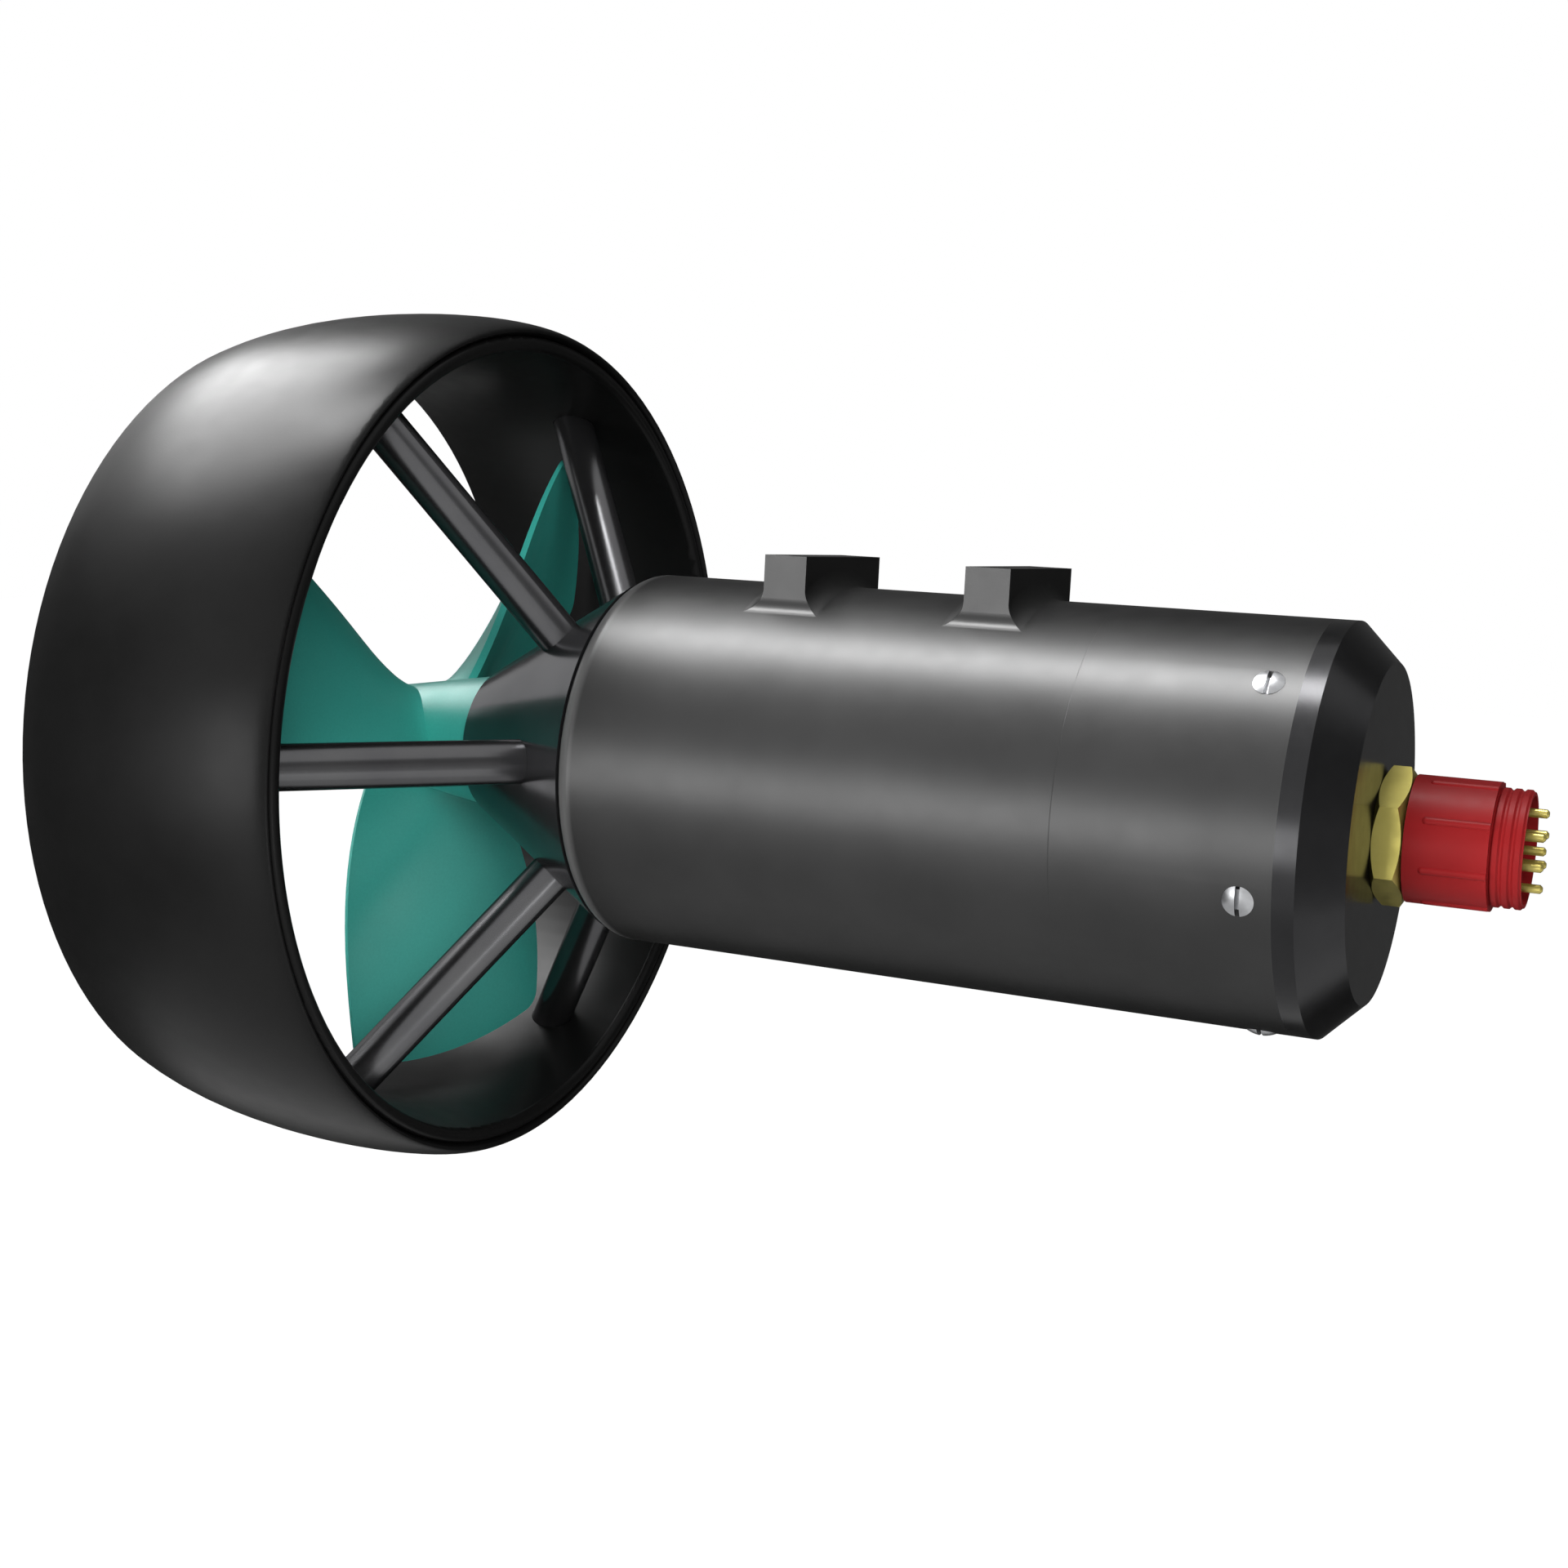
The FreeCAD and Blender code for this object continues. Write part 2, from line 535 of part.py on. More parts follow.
def make_motor_housing():
    body = new_body("motor_housing")
    spigot_outer = bore_radius + s.joint_spigot_wall
    spigot_rear = joint_station + s.joint_spigot_length
    rounding = s.housing_rounding
    turned(body, "tube", [
        (housing_front, cone_spigot_radius),
        (housing_front, s.housing_radius - rounding, rounding),
        (housing_front + rounding, s.housing_radius),
        (joint_station, s.housing_radius),
        (joint_station, spigot_outer),
        (spigot_rear, spigot_outer),
        (spigot_rear, bore_radius),
        (stator_front, bore_radius),
        (stator_front, shoulder_radius),
        (bulkhead_rear, shoulder_radius),
        (bulkhead_rear, cone_spigot_radius),
    ])
    groove_for_cord(body, "joint_groove", joint_ring_station, spigot_outer,
                    spigot_outer + s.fit - s.cord, s.cord)
    ring_radius = bore_radius + s.plate_ring_depth
    turned(body, "plate_ring_groove",
           rectangle(plate_rear, plate_ring_rear, bore_radius - s.fit, ring_radius), "Groove")

    # Mounting lugs, with a flare all round where they leave the tube
    lug_station = -s.lug_middle + s.lug_spacing / 2
    half_width = s.lug_width / 2
    half_length = s.lug_length / 2
    surface_at_end = root(s.housing_radius * s.housing_radius - half_length * half_length)
    lug_bottom = (bore_radius + surface_at_end) / 2
    block = new_sketch(body, "lug_outline", "XZ_Plane")
    outline(block, rectangle(lug_station - half_width, lug_station + half_width, lug_bottom, s.lug_top))
    lug = extruded(body, "lug", block, s.lug_length, both_ways=True)
    lugs = row_array(body, [lug], s.lug_spacing)
    flare = body.newObject("PartDesign::Fillet", "lug_flare")
    flare.Base = (lugs, lug_foot_edges(lugs.Shape, lug_station.value))
    bind(flare, "Radius", s.lug_flare)
    checked(flare)

    holes = new_sketch(body, "lug_holes_outline", "XY_Plane", s.lug_top)
    for side in (-1, 1):
        circle(holes, lug_station, side * s.lug_hole_spacing / 2, s.lug_hole_radius)
    drilled = extruded(body, "lug_holes", holes, s.lug_hole_depth, "Pocket")
    row_array(body, [drilled], s.lug_spacing)

    screw_hole = new_sketch(body, "cone_screw_hole_outline", "YZ_Plane", bulkhead_rear)
    across = cone_screw_circle * cosine(Size(HALF_SIDE))
    circle(screw_hole, across, cone_screw_circle / 2, s.cone_screw_radius + s.fit)
    hole = extruded(body, "cone_screw_hole", screw_hole, s.bulkhead, "Pocket")
    round_array(body, [hole], s.cone_screw_count)
    return body


def make_electronics_housing():
    body = new_body("electronics_housing")
    socket_radius = bore_radius + s.joint_spigot_wall + s.fit
    socket_rear = joint_station + s.joint_spigot_length + s.groove_play / 2
    turned(body, "rear_tube", [
        (joint_station, socket_radius),
        (joint_station, s.housing_radius),
        (0, s.housing_radius),
        (0, bore_radius),
        (socket_rear, bore_radius),
        (socket_rear, socket_radius),
    ])
    station = -s.cap_screw_station
    profile = new_sketch(body, "screw_hole_profile", turn=s.cap_screw_phase)
    surface = s.housing_radius + GROOVE_RUN_OUT
    head_depth = s.cap_screw_head - s.cap_screw_radius
    hole_radius = s.cap_screw_radius + s.fit
    head_radius = s.cap_screw_head + s.fit
    outline(profile, [
        (station, bore_radius - BORE_RUN_OUT),
        (station + hole_radius, bore_radius - BORE_RUN_OUT),
        (station + hole_radius, s.housing_radius - head_depth),
        (station + head_radius, s.housing_radius),
        (station + head_radius, surface),
        (station, surface),
    ])
    hole = spun_about_radius(body, "screw_hole", profile, station, "Groove")
    round_array(body, [hole], s.cap_screw_count)
    return body


def spun_about_radius(body, name, profile, station, kind):
    """Turns a profile about the radial line at a station."""
    before = body.Shape.Volume if kind == "Groove" else 0
    line = profile.addGeometry(Part.LineSegment(flat(station, 0), flat(station, 1)), True)
    fix(profile, "DistanceX", line, 1, station)
    fix(profile, "DistanceX", line, 2, station)
    fix(profile, "DistanceY", line, 1, 0)
    fix(profile, "DistanceY", line, 2, 1)
    feature = body.newObject("PartDesign::" + kind, name)
    feature.Profile = profile
    feature.ReferenceAxis = (profile, ["Axis0"])
    feature.Angle = FULL_TURN
    checked(feature)
    if kind == "Groove" and not body.Shape.Volume < before:
        raise RuntimeError(name + " cuts nothing")
    return feature


def make_cap_screws():
    body = new_body("cap_screws", s.cap_screw_phase)
    station = -s.cap_screw_station
    profile = new_sketch(body, "screw_profile")
    head_depth = s.cap_screw_head - s.cap_screw_radius
    dome_radius = (s.cap_screw_head * s.cap_screw_head / s.cap_screw_dome + s.cap_screw_dome) / 2
    outline(profile, [
        (station, s.housing_radius - s.cap_screw_length),
        (station + s.cap_screw_radius, s.housing_radius - s.cap_screw_length),
        (station + s.cap_screw_radius, s.housing_radius - head_depth),
        (station + s.cap_screw_head, s.housing_radius, -dome_radius),
        (station, s.housing_radius + s.cap_screw_dome),
    ])
    screw = spun_about_radius(body, "screw", profile, station, "Revolution")
    slot_outline = new_sketch(body, "slot_outline", "XY_Plane",
                              s.housing_radius - s.cap_screw_slot_depth)
    half_slot = s.cap_screw_slot / 2
    outline(slot_outline, rectangle(station - half_slot, station + half_slot,
                                    -s.cap_screw_head * 2, s.cap_screw_head * 2))
    slot = extruded(body, "slot", slot_outline, s.cap_screw_dome + s.cap_screw_slot_depth * 2,
                    "Pocket", backwards=True)
    round_array(body, [screw, slot], s.cap_screw_count)
    return body


def make_end_cap():
    body = new_body("end_cap")
    spigot_radius = bore_radius - s.fit
    spigot_bore = spigot_radius - s.cap_spigot_wall
    turned(body, "cap", [
        (-s.cap_spigot_length, spigot_bore),
        (-s.cap_spigot_length, spigot_radius),
        (0, spigot_radius),
        (0, s.housing_radius),
        (s.cap_band, s.housing_radius),
        (s.cap_length, s.cap_face_radius),
        (s.cap_length, s.shank_radius + s.fit),
        (0, s.shank_radius + s.fit),
        (0, spigot_bore),
    ])
    for name, station in (("first_groove", -s.cap_ring_first), ("second_groove", -s.cap_ring_second)):
        groove_for_cord(body, name, station, spigot_radius, bore_radius - s.cord, s.cord)
    station = -s.cap_screw_station
    profile = new_sketch(body, "thread_profile", turn=s.cap_screw_phase)
    outline(profile, rectangle(station, station + s.cap_screw_radius + s.fit,
                               spigot_bore - BORE_RUN_OUT, bore_radius + BORE_RUN_OUT))
    hole = spun_about_radius(body, "thread_hole", profile, station, "Groove")
    round_array(body, [hole], s.cap_screw_count)
    return body


def make_nose_cone():
    body = new_body("nose_cone", Size(QUARTER_TURN))
    spigot_rear = housing_front + s.cone_spigot_length
    seat = s.bearing_radius + s.fit
    turned(body, "cone", [
        (cone_front, s.seal_radius + s.fit),
        (cone_front, s.cone_tip_radius),
        (housing_front, s.cone_base_radius),
        (housing_front, cone_spigot_radius - s.fit),
        (spigot_rear, cone_spigot_radius - s.fit),
        (spigot_rear, seat),
        (bearing_front, seat),
        (bearing_front, s.rotor_seat_radius),
        (seal_front + s.seal_width, s.rotor_seat_radius),
        (seal_front + s.seal_width, s.seal_radius + s.fit),
    ])
    groove_for_cord(body, "cone_ring_groove", cone_ring_station, cone_spigot_radius - s.fit,
                    cone_spigot_radius - s.cord, s.cord)
    turned(body, "retainer_groove", rectangle(
        bearing_rear, bearing_rear + s.retainer_thickness,
        s.bearing_radius - s.fit, s.bearing_radius + s.retainer_depth), "Groove")
    thread = new_sketch(body, "cone_thread_outline", "YZ_Plane", housing_front)
    circle(thread, cone_screw_circle, 0, s.cone_screw_radius + s.fit)
    hole = extruded(body, "cone_thread", thread, s.cone_screw_depth + s.cone_screw_radius, "Pocket")
    round_array(body, [hole], s.cone_screw_count)
    profile = new_sketch(body, "strut_socket_profile")
    strut_outline(profile, s.strut_radius + s.fit, -s.strut_socket, s.strut_socket)
    socket = spun_about_line(body, "strut_socket", profile, "Groove")
    round_array(body, [socket], s.strut_count)
    return body


# A strut's axis reaches the radius of the duct's rim at one station and the cone's surface at another
strut_top_station = duct_rim_station - s.strut_setback
strut_drop = s.duct_rim_radius - s.cone_base_radius + (housing_front - strut_top_station) * cone_slope
strut_way = strut_drop / (cosine(s.strut_lean) + cone_slope * sine(s.strut_lean))
strut_foot_station = strut_top_station + strut_way * sine(s.strut_lean)
strut_foot_radius = s.duct_rim_radius - strut_way * cosine(s.strut_lean)


def strut_point(along, across):
    """A point of the strut's section: along its axis from the cone's surface, and to its side."""
    station = strut_foot_station - along * sine(s.strut_lean) + across * cosine(s.strut_lean)
    radius = strut_foot_radius + along * cosine(s.strut_lean) + across * sine(s.strut_lean)
    return station, radius


def strut_outline(profile, radius, start, finish):
    corners = [strut_point(start, size_of(0)), strut_point(start, radius),
               strut_point(finish, radius), strut_point(finish, size_of(0))]
    outline(profile, corners)


def spun_about_line(body, name, profile, kind):
    """Turns the outline about its own last side."""
    before = body.Shape.Volume if kind == "Groove" else 0
    feature = body.newObject("PartDesign::" + kind, name)
    feature.Profile = profile
    feature.ReferenceAxis = (profile, ["Edge4"])
    feature.Angle = FULL_TURN
    checked(feature)
    if kind == "Groove" and not body.Shape.Volume < before:
        raise RuntimeError(name + " cuts nothing")
    return feature


def duct_wall_radius(station):
    """Radius of the duct's inner wall, an arc between its two edges."""
    front = Vector(duct_front_station.value, s.duct_front_radius.value, 0)
    rim = Vector(duct_rim_station.value, (s.duct_rim_radius - s.duct_rim_round).value, 0)
    arc = duct_inner_arc(front, rim)
    line = Part.LineSegment(Vector(station, 0, 0), Vector(station, front.y * 2, 0))
    return arc.intersect(line)[0].Y


def duct_inner_arc(front, rim):
    middle = (front + rim) * 0.5
    way = rim - front
    inward = Vector(way.y, -way.x, 0).normalize()
    return Part.Arc(front, middle + inward * s.duct_throat_sag.value, rim)


def duct_profile():
    front_inner = Vector(duct_front_station.value, s.duct_front_radius.value, 0)
    edge = s.duct_front_edge.value
    front_outer = front_inner + Vector(0, edge, 0)
    front_nose = front_inner + Vector(-edge / 2, edge / 2, 0)
    rim_middle = Vector(duct_rim_station.value, s.duct_rim_radius.value, 0)
    rim_inner = rim_middle - Vector(0, s.duct_rim_round.value, 0)
    rim_outer = rim_middle + Vector(0, s.duct_rim_round.value, 0)
    rim_nose = rim_middle + Vector(s.duct_rim_round.value, 0, 0)
    outer = Part.BezierCurve()
    outer.setPoles([
        front_outer,
        front_outer + Vector(s.duct_front_lean.value, s.duct_front_rise.value, 0),
        rim_outer + Vector(s.duct_rear_lean.value, s.duct_rear_rise.value, 0),
        rim_outer,
    ])
    edges = [
        outer.toShape(),
        Part.Arc(rim_outer, rim_nose, rim_inner).toShape(),
        duct_inner_arc(front_inner, rim_inner).toShape(),
        Part.Arc(front_inner, front_nose, front_outer).toShape(),
    ]
    return Part.Face(Part.Wire(Part.__sortEdges__(edges)))


def strut_end():
    """Distance along a strut's axis from the cone to the duct's inner wall."""
    upright_share = cosine(s.strut_lean).value
    along = strut_way.value
    for _ in range(WALL_SEARCHES):
        station, radius = strut_point(Size(along), size_of(0))
        along -= (radius.value - duct_wall_radius(station.value)) / upright_share
    return along


strut_reach = strut_end()


def make_strut_cutter(radius, start, finish, turn):
    """Round rod along a strut's axis, in the thruster's own frame."""
    station, height = strut_point(Size(start), size_of(0))
    lean = math.radians(s.strut_lean.value)
    direction = Vector(-math.sin(lean), 0, math.cos(lean))
    rod = Part.makeCylinder(radius, finish - start, Vector(station.value, 0, height.value), direction)
    rod.rotate(Vector(), Vector(1, 0, 0), turn)
    return rod


def make_duct_ring():
    solid = duct_profile().revolve(Vector(), Vector(1, 0, 0), FULL_TURN)
    count = int(s.strut_count.value)
    for index in range(count):
        rod = make_strut_cutter(s.strut_radius.value + s.fit.value, strut_reach - s.strut_socket.value,
                                strut_reach + s.strut_duct_socket.value + s.fit.value,
                                strut_turn(index))
        solid = solid.cut(rod)
    return plain_feature("duct_ring", solid)


def plain_feature(label, shape):
    feature = doc.addObject("Part::Feature", label)
    feature.Label = label
    feature.Shape = shape
    feature.Placement = Placement(Vector(s.lug_middle.value, 0, axis_height.value), Rotation())
    return feature


def strut_turn(index):
    """Struts lie at both sides of the thruster and at sixty degrees to these."""
    return QUARTER_TURN + index * FULL_TURN / s.strut_count.value


def make_strut(index):
    body = new_body("strut_%d" % (index + 1), Size(strut_turn(index)))
    profile = new_sketch(body, "rod_profile_%d" % (index + 1))
    start = s.fit - s.strut_socket
    strut_outline(profile, s.strut_radius, start, Size(strut_reach) + s.strut_duct_socket)
    spun_about_line(body, "rod_%d" % (index + 1), profile, "Revolution")
    return body


# Propeller blade: sections on cylinders round the axis, from inside the hub to beyond the tip
def between(start, middle, finish, share):
    """Curve through three values, at the hub, half way out and at the tip."""
    first = 2 * (share - 0.5) * (share - 1)
    second = 4 * share * (1 - share)
    third = 2 * share * (share - 0.5)
    return start * first + middle * second + finish * third


def hub_radius_at(station):
    share = (station - hub_front.value) / s.hub_length.value
    return s.hub_front_radius.value + (s.hub_rear_radius.value - s.hub_front_radius.value) * share


def blade_middle():
    return (cone_front - s.blade_setback).value


def blade_flare(radius):
    """How much further out the blade's sides lie near the hub, fading as a fillet does."""
    height = radius - hub_radius_at(blade_middle())
    return s.root_flare.value * math.exp(-height / s.root_flare.value)


def blade_section(radius):
    """Section of the blade on a cylinder round the axis: two bulging sides and two blunt edges."""
    share = (radius - s.hub_rear_radius.value) / (s.tip_radius.value - s.hub_rear_radius.value)
    flare = blade_flare(radius)
    chord = between(s.root_chord.value, s.middle_chord.value, s.tip_chord.value, share)
    slant = math.radians(between(s.root_angle.value, s.middle_angle.value, s.tip_angle.value, share))
    thickness = between(s.root_thickness.value, s.middle_thickness.value, s.tip_thickness.value, share)
    edge = s.root_edge.value + (s.tip_edge.value - s.root_edge.value) * share
    skew = between(0, s.middle_skew.value, s.tip_skew.value, share)
    middle_turn = math.radians(s.blade_phase.value + skew)
    middle_station = blade_middle() + s.tip_lean.value * share
    sides = []
    for side in (1, -1):
        points = []
        for index in range(SECTION_POINTS):
            place_on_chord = -1 + 2 * index / (SECTION_POINTS - 1)
            fullness = 1 - place_on_chord ** 2
            offset = side * ((edge + (thickness - edge) * fullness) / 2 + flare * fullness)
            along = place_on_chord * chord / 2
            station = middle_station + along * math.sin(slant) - offset * math.cos(slant)
            turn = middle_turn + (along * math.cos(slant) + offset * math.sin(slant)) / radius
            points.append(Vector(station, radius * math.cos(turn), radius * math.sin(turn)))
        curve = Part.BSplineCurve()
        curve.interpolate(points)
        sides.append(curve)
    upper, lower = sides
    edges = [
        upper.toShape(),
        Part.LineSegment(upper.EndPoint, lower.EndPoint).toShape(),
        lower.toShape(),
        Part.LineSegment(lower.StartPoint, upper.StartPoint).toShape(),
    ]
    return Part.Wire(Part.__sortEdges__(edges))


def blade_radii():
    """Radii of the sections: close together in the flare, wider apart out to just beyond the tip."""
    foot = hub_radius_at(blade_middle())
    flare = s.root_flare.value
    radii = [foot + flare * step for step in (-1, 0, 1, 2, 3)]
    outside = s.tip_radius.value + s.tip_rounding.value
    start = radii[-1]
    for index in range(1, BLADE_STATIONS + 1):
        radii.append(start + (outside - start) * index / BLADE_STATIONS)
    return radii


def closed_blade():
    """Lofts the sections and closes the two curved ends."""
    sections = [blade_section(radius) for radius in blade_radii()]
    sides = Part.makeLoft(sections, False, False)
    ends = [Part.makeFilledFace(sections[0].Edges), Part.makeFilledFace(sections[-1].Edges)]
    shell = Part.makeShell(sides.Faces + ends)
    shell.sewShape()
    return Part.makeSolid(shell)


def round_tip_corners(blade):
    """Rounds the two corners of the blade's outline at the tip."""
    rim = []
    for edge in blade.Edges:
        if all(abs(math.hypot(vertex.Y, vertex.Z) - s.tip_radius.value) < TOUCH for vertex in edge.Vertexes):
            rim.append(edge)
    corners = sorted(rim, key=lambda edge: edge.Length)[:2]
    return blade.makeFillet(s.tip_rounding.value, corners)


def make_propeller():
    # The blades are cut off at the tip's radius, over three lengths of the hub
    length = s.hub_length.value
    reach = Part.makeCylinder(s.tip_radius.value, length * 3,
                              Vector(hub_front.value - length, 0, 0), Vector(1, 0, 0))
    blade = round_tip_corners(closed_blade().common(reach))
    solid = Part.makeCone(s.hub_front_radius.value, s.hub_rear_radius.value, length,
                          Vector(hub_front.value, 0, 0), Vector(1, 0, 0))
    for index in range(int(s.blade_count.value)):
        copy = blade.copy()
        copy.rotate(Vector(), Vector(1, 0, 0), index * FULL_TURN / s.blade_count.value)
        solid = solid.fuse(copy)
    solid = solid.cut(hub_hollow())
    return plain_feature("propeller", solid.removeSplitter())


def hub_hollow():
    """Bore for the shaft and cross slot for the drive pin."""
    length = s.hub_length.value
    bore = Part.makeCylinder(s.shaft_radius.value + s.fit.value, length * 2,
                             Vector(hub_front.value - length / 2, 0, 0), Vector(1, 0, 0))
    half_width = s.pin_radius.value + s.fit.value
    half_reach = s.pin_length.value / 2 + s.fit.value
    depth = s.pin_setback.value + half_width
    slot = Part.makeBox(depth + BORE_RUN_OUT, half_width * 2, half_reach * 2,
                        Vector(hub_rear.value - depth, -half_width, -half_reach))
    return bore.fuse(slot)


def make_drive_shaft():
    body = new_body("drive_shaft")
    thread_front = nut_front - s.shaft_front_reach
    shaft_rear = rear_bearing_rear + s.shaft_rear_reach
    turned(body, "shaft", [
        (thread_front, 0),
        (thread_front, s.shaft_thread_radius),
        (hub_front, s.shaft_thread_radius),
        (hub_front, s.shaft_radius),
        (bearing_rear, s.shaft_radius),
        (bearing_rear, s.rotor_seat_radius - s.fit),
        (plate_front, s.rotor_seat_radius - s.fit),
        (plate_front, s.shaft_radius),
        (shaft_rear, s.shaft_radius),
        (shaft_rear, 0),
    ])
    hole = new_sketch(body, "pin_hole_outline", "XY_Plane")
    circle(hole, pin_station, 0, s.pin_radius + s.fit)
    extruded(body, "pin_hole", hole, s.shaft_radius * 3, "Pocket", both_ways=True)
    return body


def make_drive_pin():
    pin = doc.addObject("Part::Cylinder", "drive_pin")
    pin.Label = "drive_pin"
    bind(pin, "Radius", s.pin_radius)
    bind(pin, "Height", s.pin_length)
    bind(pin, "Placement.Base.x", pin_station + s.lug_middle)
    bind(pin, "Placement.Base.z", axis_height - s.pin_length / 2)
    return checked(pin)


def hexagon(body, name, flats, bore, station, height):
    """Hexagonal block with a round bore. Two corners point up and down."""
    sketch = new_sketch(body, name + "_outline", "YZ_Plane", station)
    corner = flats / (2 * cosine(Size(HALF_SIDE)))
    corners = []
    for index in range(HEX_SIDES):
        turn = Size(QUARTER_TURN + 2 * HALF_SIDE * index)
        corners.append((corner * cosine(turn), corner * sine(turn)))
    outline(sketch, corners)
    circle(sketch, 0, 0, bore)
    return extruded(body, name, sketch, height)


def chamfer_hexagon(body, name, flats, station, height, chamfer, both_ends):
    """Cuts the corners of a hexagon at an angle, as a lathe does, from just inside its flats."""
    corner = flats / (2 * cosine(Size(HALF_SIDE)))
    inner = flats / 2 - chamfer / 4
    reach = corner + chamfer
    drop = (reach - inner) * tangent(Size(HALF_SIDE))
    end = station + height
    turned(body, name + "_rear", [(end, inner), (end, reach), (end - drop, reach)], "Groove")
    if both_ends:
        turned(body, name + "_front", [(station, inner), (station, reach), (station + drop, reach)], "Groove")


def make_propeller_nut():
    body = new_body("propeller_nut")
    hexagon(body, "nut", s.nut_flats, s.shaft_thread_radius + s.fit, nut_front, s.nut_height)
    chamfer_hexagon(body, "nut_corners", s.nut_flats, nut_front, s.nut_height, s.hex_chamfer, True)
    return body


def make_bearing(prefix, station):
    """Outer race, inner race and balls of one ball bearing."""
    race = s.race_thickness
    middle_radius = (s.bearing_radius + s.shaft_radius) / 2
    middle_station = station + s.bearing_width / 2
    ball = s.ball_radius
    groove = ball + s.fit
    rear = station + s.bearing_width
    inner_outside = s.shaft_radius + s.fit + race
    outer_inside = s.bearing_radius - race
    half_inner = root(groove * groove - (middle_radius - inner_outside) * (middle_radius - inner_outside))
    half_outer = root(groove * groove - (outer_inside - middle_radius) * (outer_inside - middle_radius))
    outer = new_body(prefix + "_bearing_outer")
    turned(outer, prefix + "_outer_race", [
        (station, s.bearing_radius),
        (rear, s.bearing_radius),
        (rear, outer_inside),
        (middle_station + half_outer, outer_inside, -groove),
        (middle_station - half_outer, outer_inside),
        (station, outer_inside),
    ])
    inner = new_body(prefix + "_bearing_inner")
    turned(inner, prefix + "_inner_race", [
        (station, s.shaft_radius + s.fit),
        (station, inner_outside),
        (middle_station - half_inner, inner_outside, -groove),
        (middle_station + half_inner, inner_outside),
        (rear, inner_outside),
        (rear, s.shaft_radius + s.fit),
    ])
    balls = new_body(prefix + "_bearing_balls")
    profile = new_sketch(balls, prefix + "_ball_profile")
    outline(profile, [
        (middle_station, middle_radius - ball, -ball),
        (middle_station + ball, middle_radius, -ball),
        (middle_station, middle_radius + ball),
    ])
    one = spun_about_radius(balls, prefix + "_ball", profile, middle_station, "Revolution")
    round_array(balls, [one], s.ball_count)
    return [outer, inner, balls]


def make_retaining_ring(label, station, thickness, inner, outer):
    """Ring with a gap, sprung into a groove."""
    body = new_body(label)
    rear = station + thickness
    turned(body, label + "_ring", rectangle(station + s.fit, rear - s.fit, inner, outer - s.fit))
    gap = new_sketch(body, label + "_gap_outline", "YZ_Plane", station)
    half_gap = (outer - inner) / 2
    outline(gap, rectangle(-half_gap, half_gap, inner - BORE_RUN_OUT, outer + BORE_RUN_OUT))
    extruded(body, label + "_gap", gap, thickness, "Pocket", backwards=True)
    return body


def make_stator_core():
    body = new_body("stator_core")
    outer = bore_radius - s.fit
    yoke = outer - s.stator_yoke
    tip = rotor_radius + s.air_gap
    turned(body, "yoke", rectangle(stator_front, stator_rear, yoke, outer))
    tooth = new_sketch(body, "tooth_outline", "YZ_Plane", stator_front)
    half = s.tooth_width / 2
    outline(tooth, rectangle(-half, half, tip, yoke + s.stator_yoke / 2))
    tooth_pad = extruded(body, "tooth", tooth, s.stator_length)
    round_array(body, [tooth_pad], s.tooth_count)
    return body


def make_stator_windings():
    body = new_body("stator_windings")
    outer = bore_radius - s.fit
    yoke = outer - s.stator_yoke
    tip = rotor_radius + s.air_gap
    half = s.tooth_width / 2 + s.coil_thickness
    coil = new_sketch(body, "coil_outline", "XY_Plane", tip + s.coil_standoff)
    outline(coil, rectangle(stator_front - s.coil_overhang, coil_rear, -half, half))
    outline(coil, rectangle(stator_front - s.fit, stator_rear + s.fit,
                            -s.tooth_width / 2 - s.fit, s.tooth_width / 2 + s.fit))
    pad = extruded(body, "coil", coil, yoke - tip - s.coil_standoff - s.coil_clearance)
    round_array(body, [pad], s.tooth_count)
    return body


def make_rotor_magnets():
    body = new_body("rotor_magnets")
    inner = rotor_radius - s.magnet_thickness + s.fit
    turned(body, "magnet_ring", rectangle(stator_front, stator_rear, inner, rotor_radius))
    gap = new_sketch(body, "magnet_gap_outline", "YZ_Plane", stator_front)
    half = s.magnet_gap / 2
    outline(gap, rectangle(-half, half, inner - BORE_RUN_OUT, rotor_radius + BORE_RUN_OUT))
    cut = extruded(body, "magnet_gap", gap, s.stator_length, "Pocket", backwards=True)
    round_array(body, [cut], s.magnet_count)
    return body


def make_bearing_plate():
    body = new_body("rear_bearing_plate")
    outer = bore_radius - s.fit
    skirt = outer - s.plate_skirt_wall
    seat = s.bearing_radius + s.fit
    turned(body, "plate", [
        (stator_rear, skirt),
        (stator_rear, outer),
        (plate_rear, outer),
        (plate_rear, s.bearing_radius - s.race_thickness),
        (rear_bearing_rear, s.bearing_radius - s.race_thickness),
        (rear_bearing_rear, seat),
        (plate_front, seat),
        (plate_front, skirt),
    ])
    leads = new_sketch(body, "lead_hole_outline", "YZ_Plane", plate_rear)
    circle(leads, 0, s.lead_hole_circle, s.lead_hole_radius)
    cut = extruded(body, "lead_hole", leads, plate_rear - plate_front + s.fit, "Pocket")
    round_array(body, [cut], s.lead_count)
    return body


def make_motor_leads():
    """Leads from the coils through the bearing plate to the board."""
    body = new_body("motor_leads")
    wire = new_sketch(body, "motor_lead_outline", "YZ_Plane", coil_rear)
    circle(wire, 0, s.lead_hole_circle, s.lead_radius)
    pad = extruded(body, "motor_lead", wire, board_front - coil_rear)
    round_array(body, [pad], s.lead_count)
    return body


def make_contact_leads():
    """Leads from the board to the tails of the contact pins."""
    body = new_body("contact_leads")
    wires = new_sketch(body, "contact_lead_outline", "YZ_Plane", board_rear)
    for across, up in contact_places():
        circle(wires, across, up, s.contact_lead_radius)
    extruded(body, "contact_lead", wires, contact_front - board_rear)
    return body


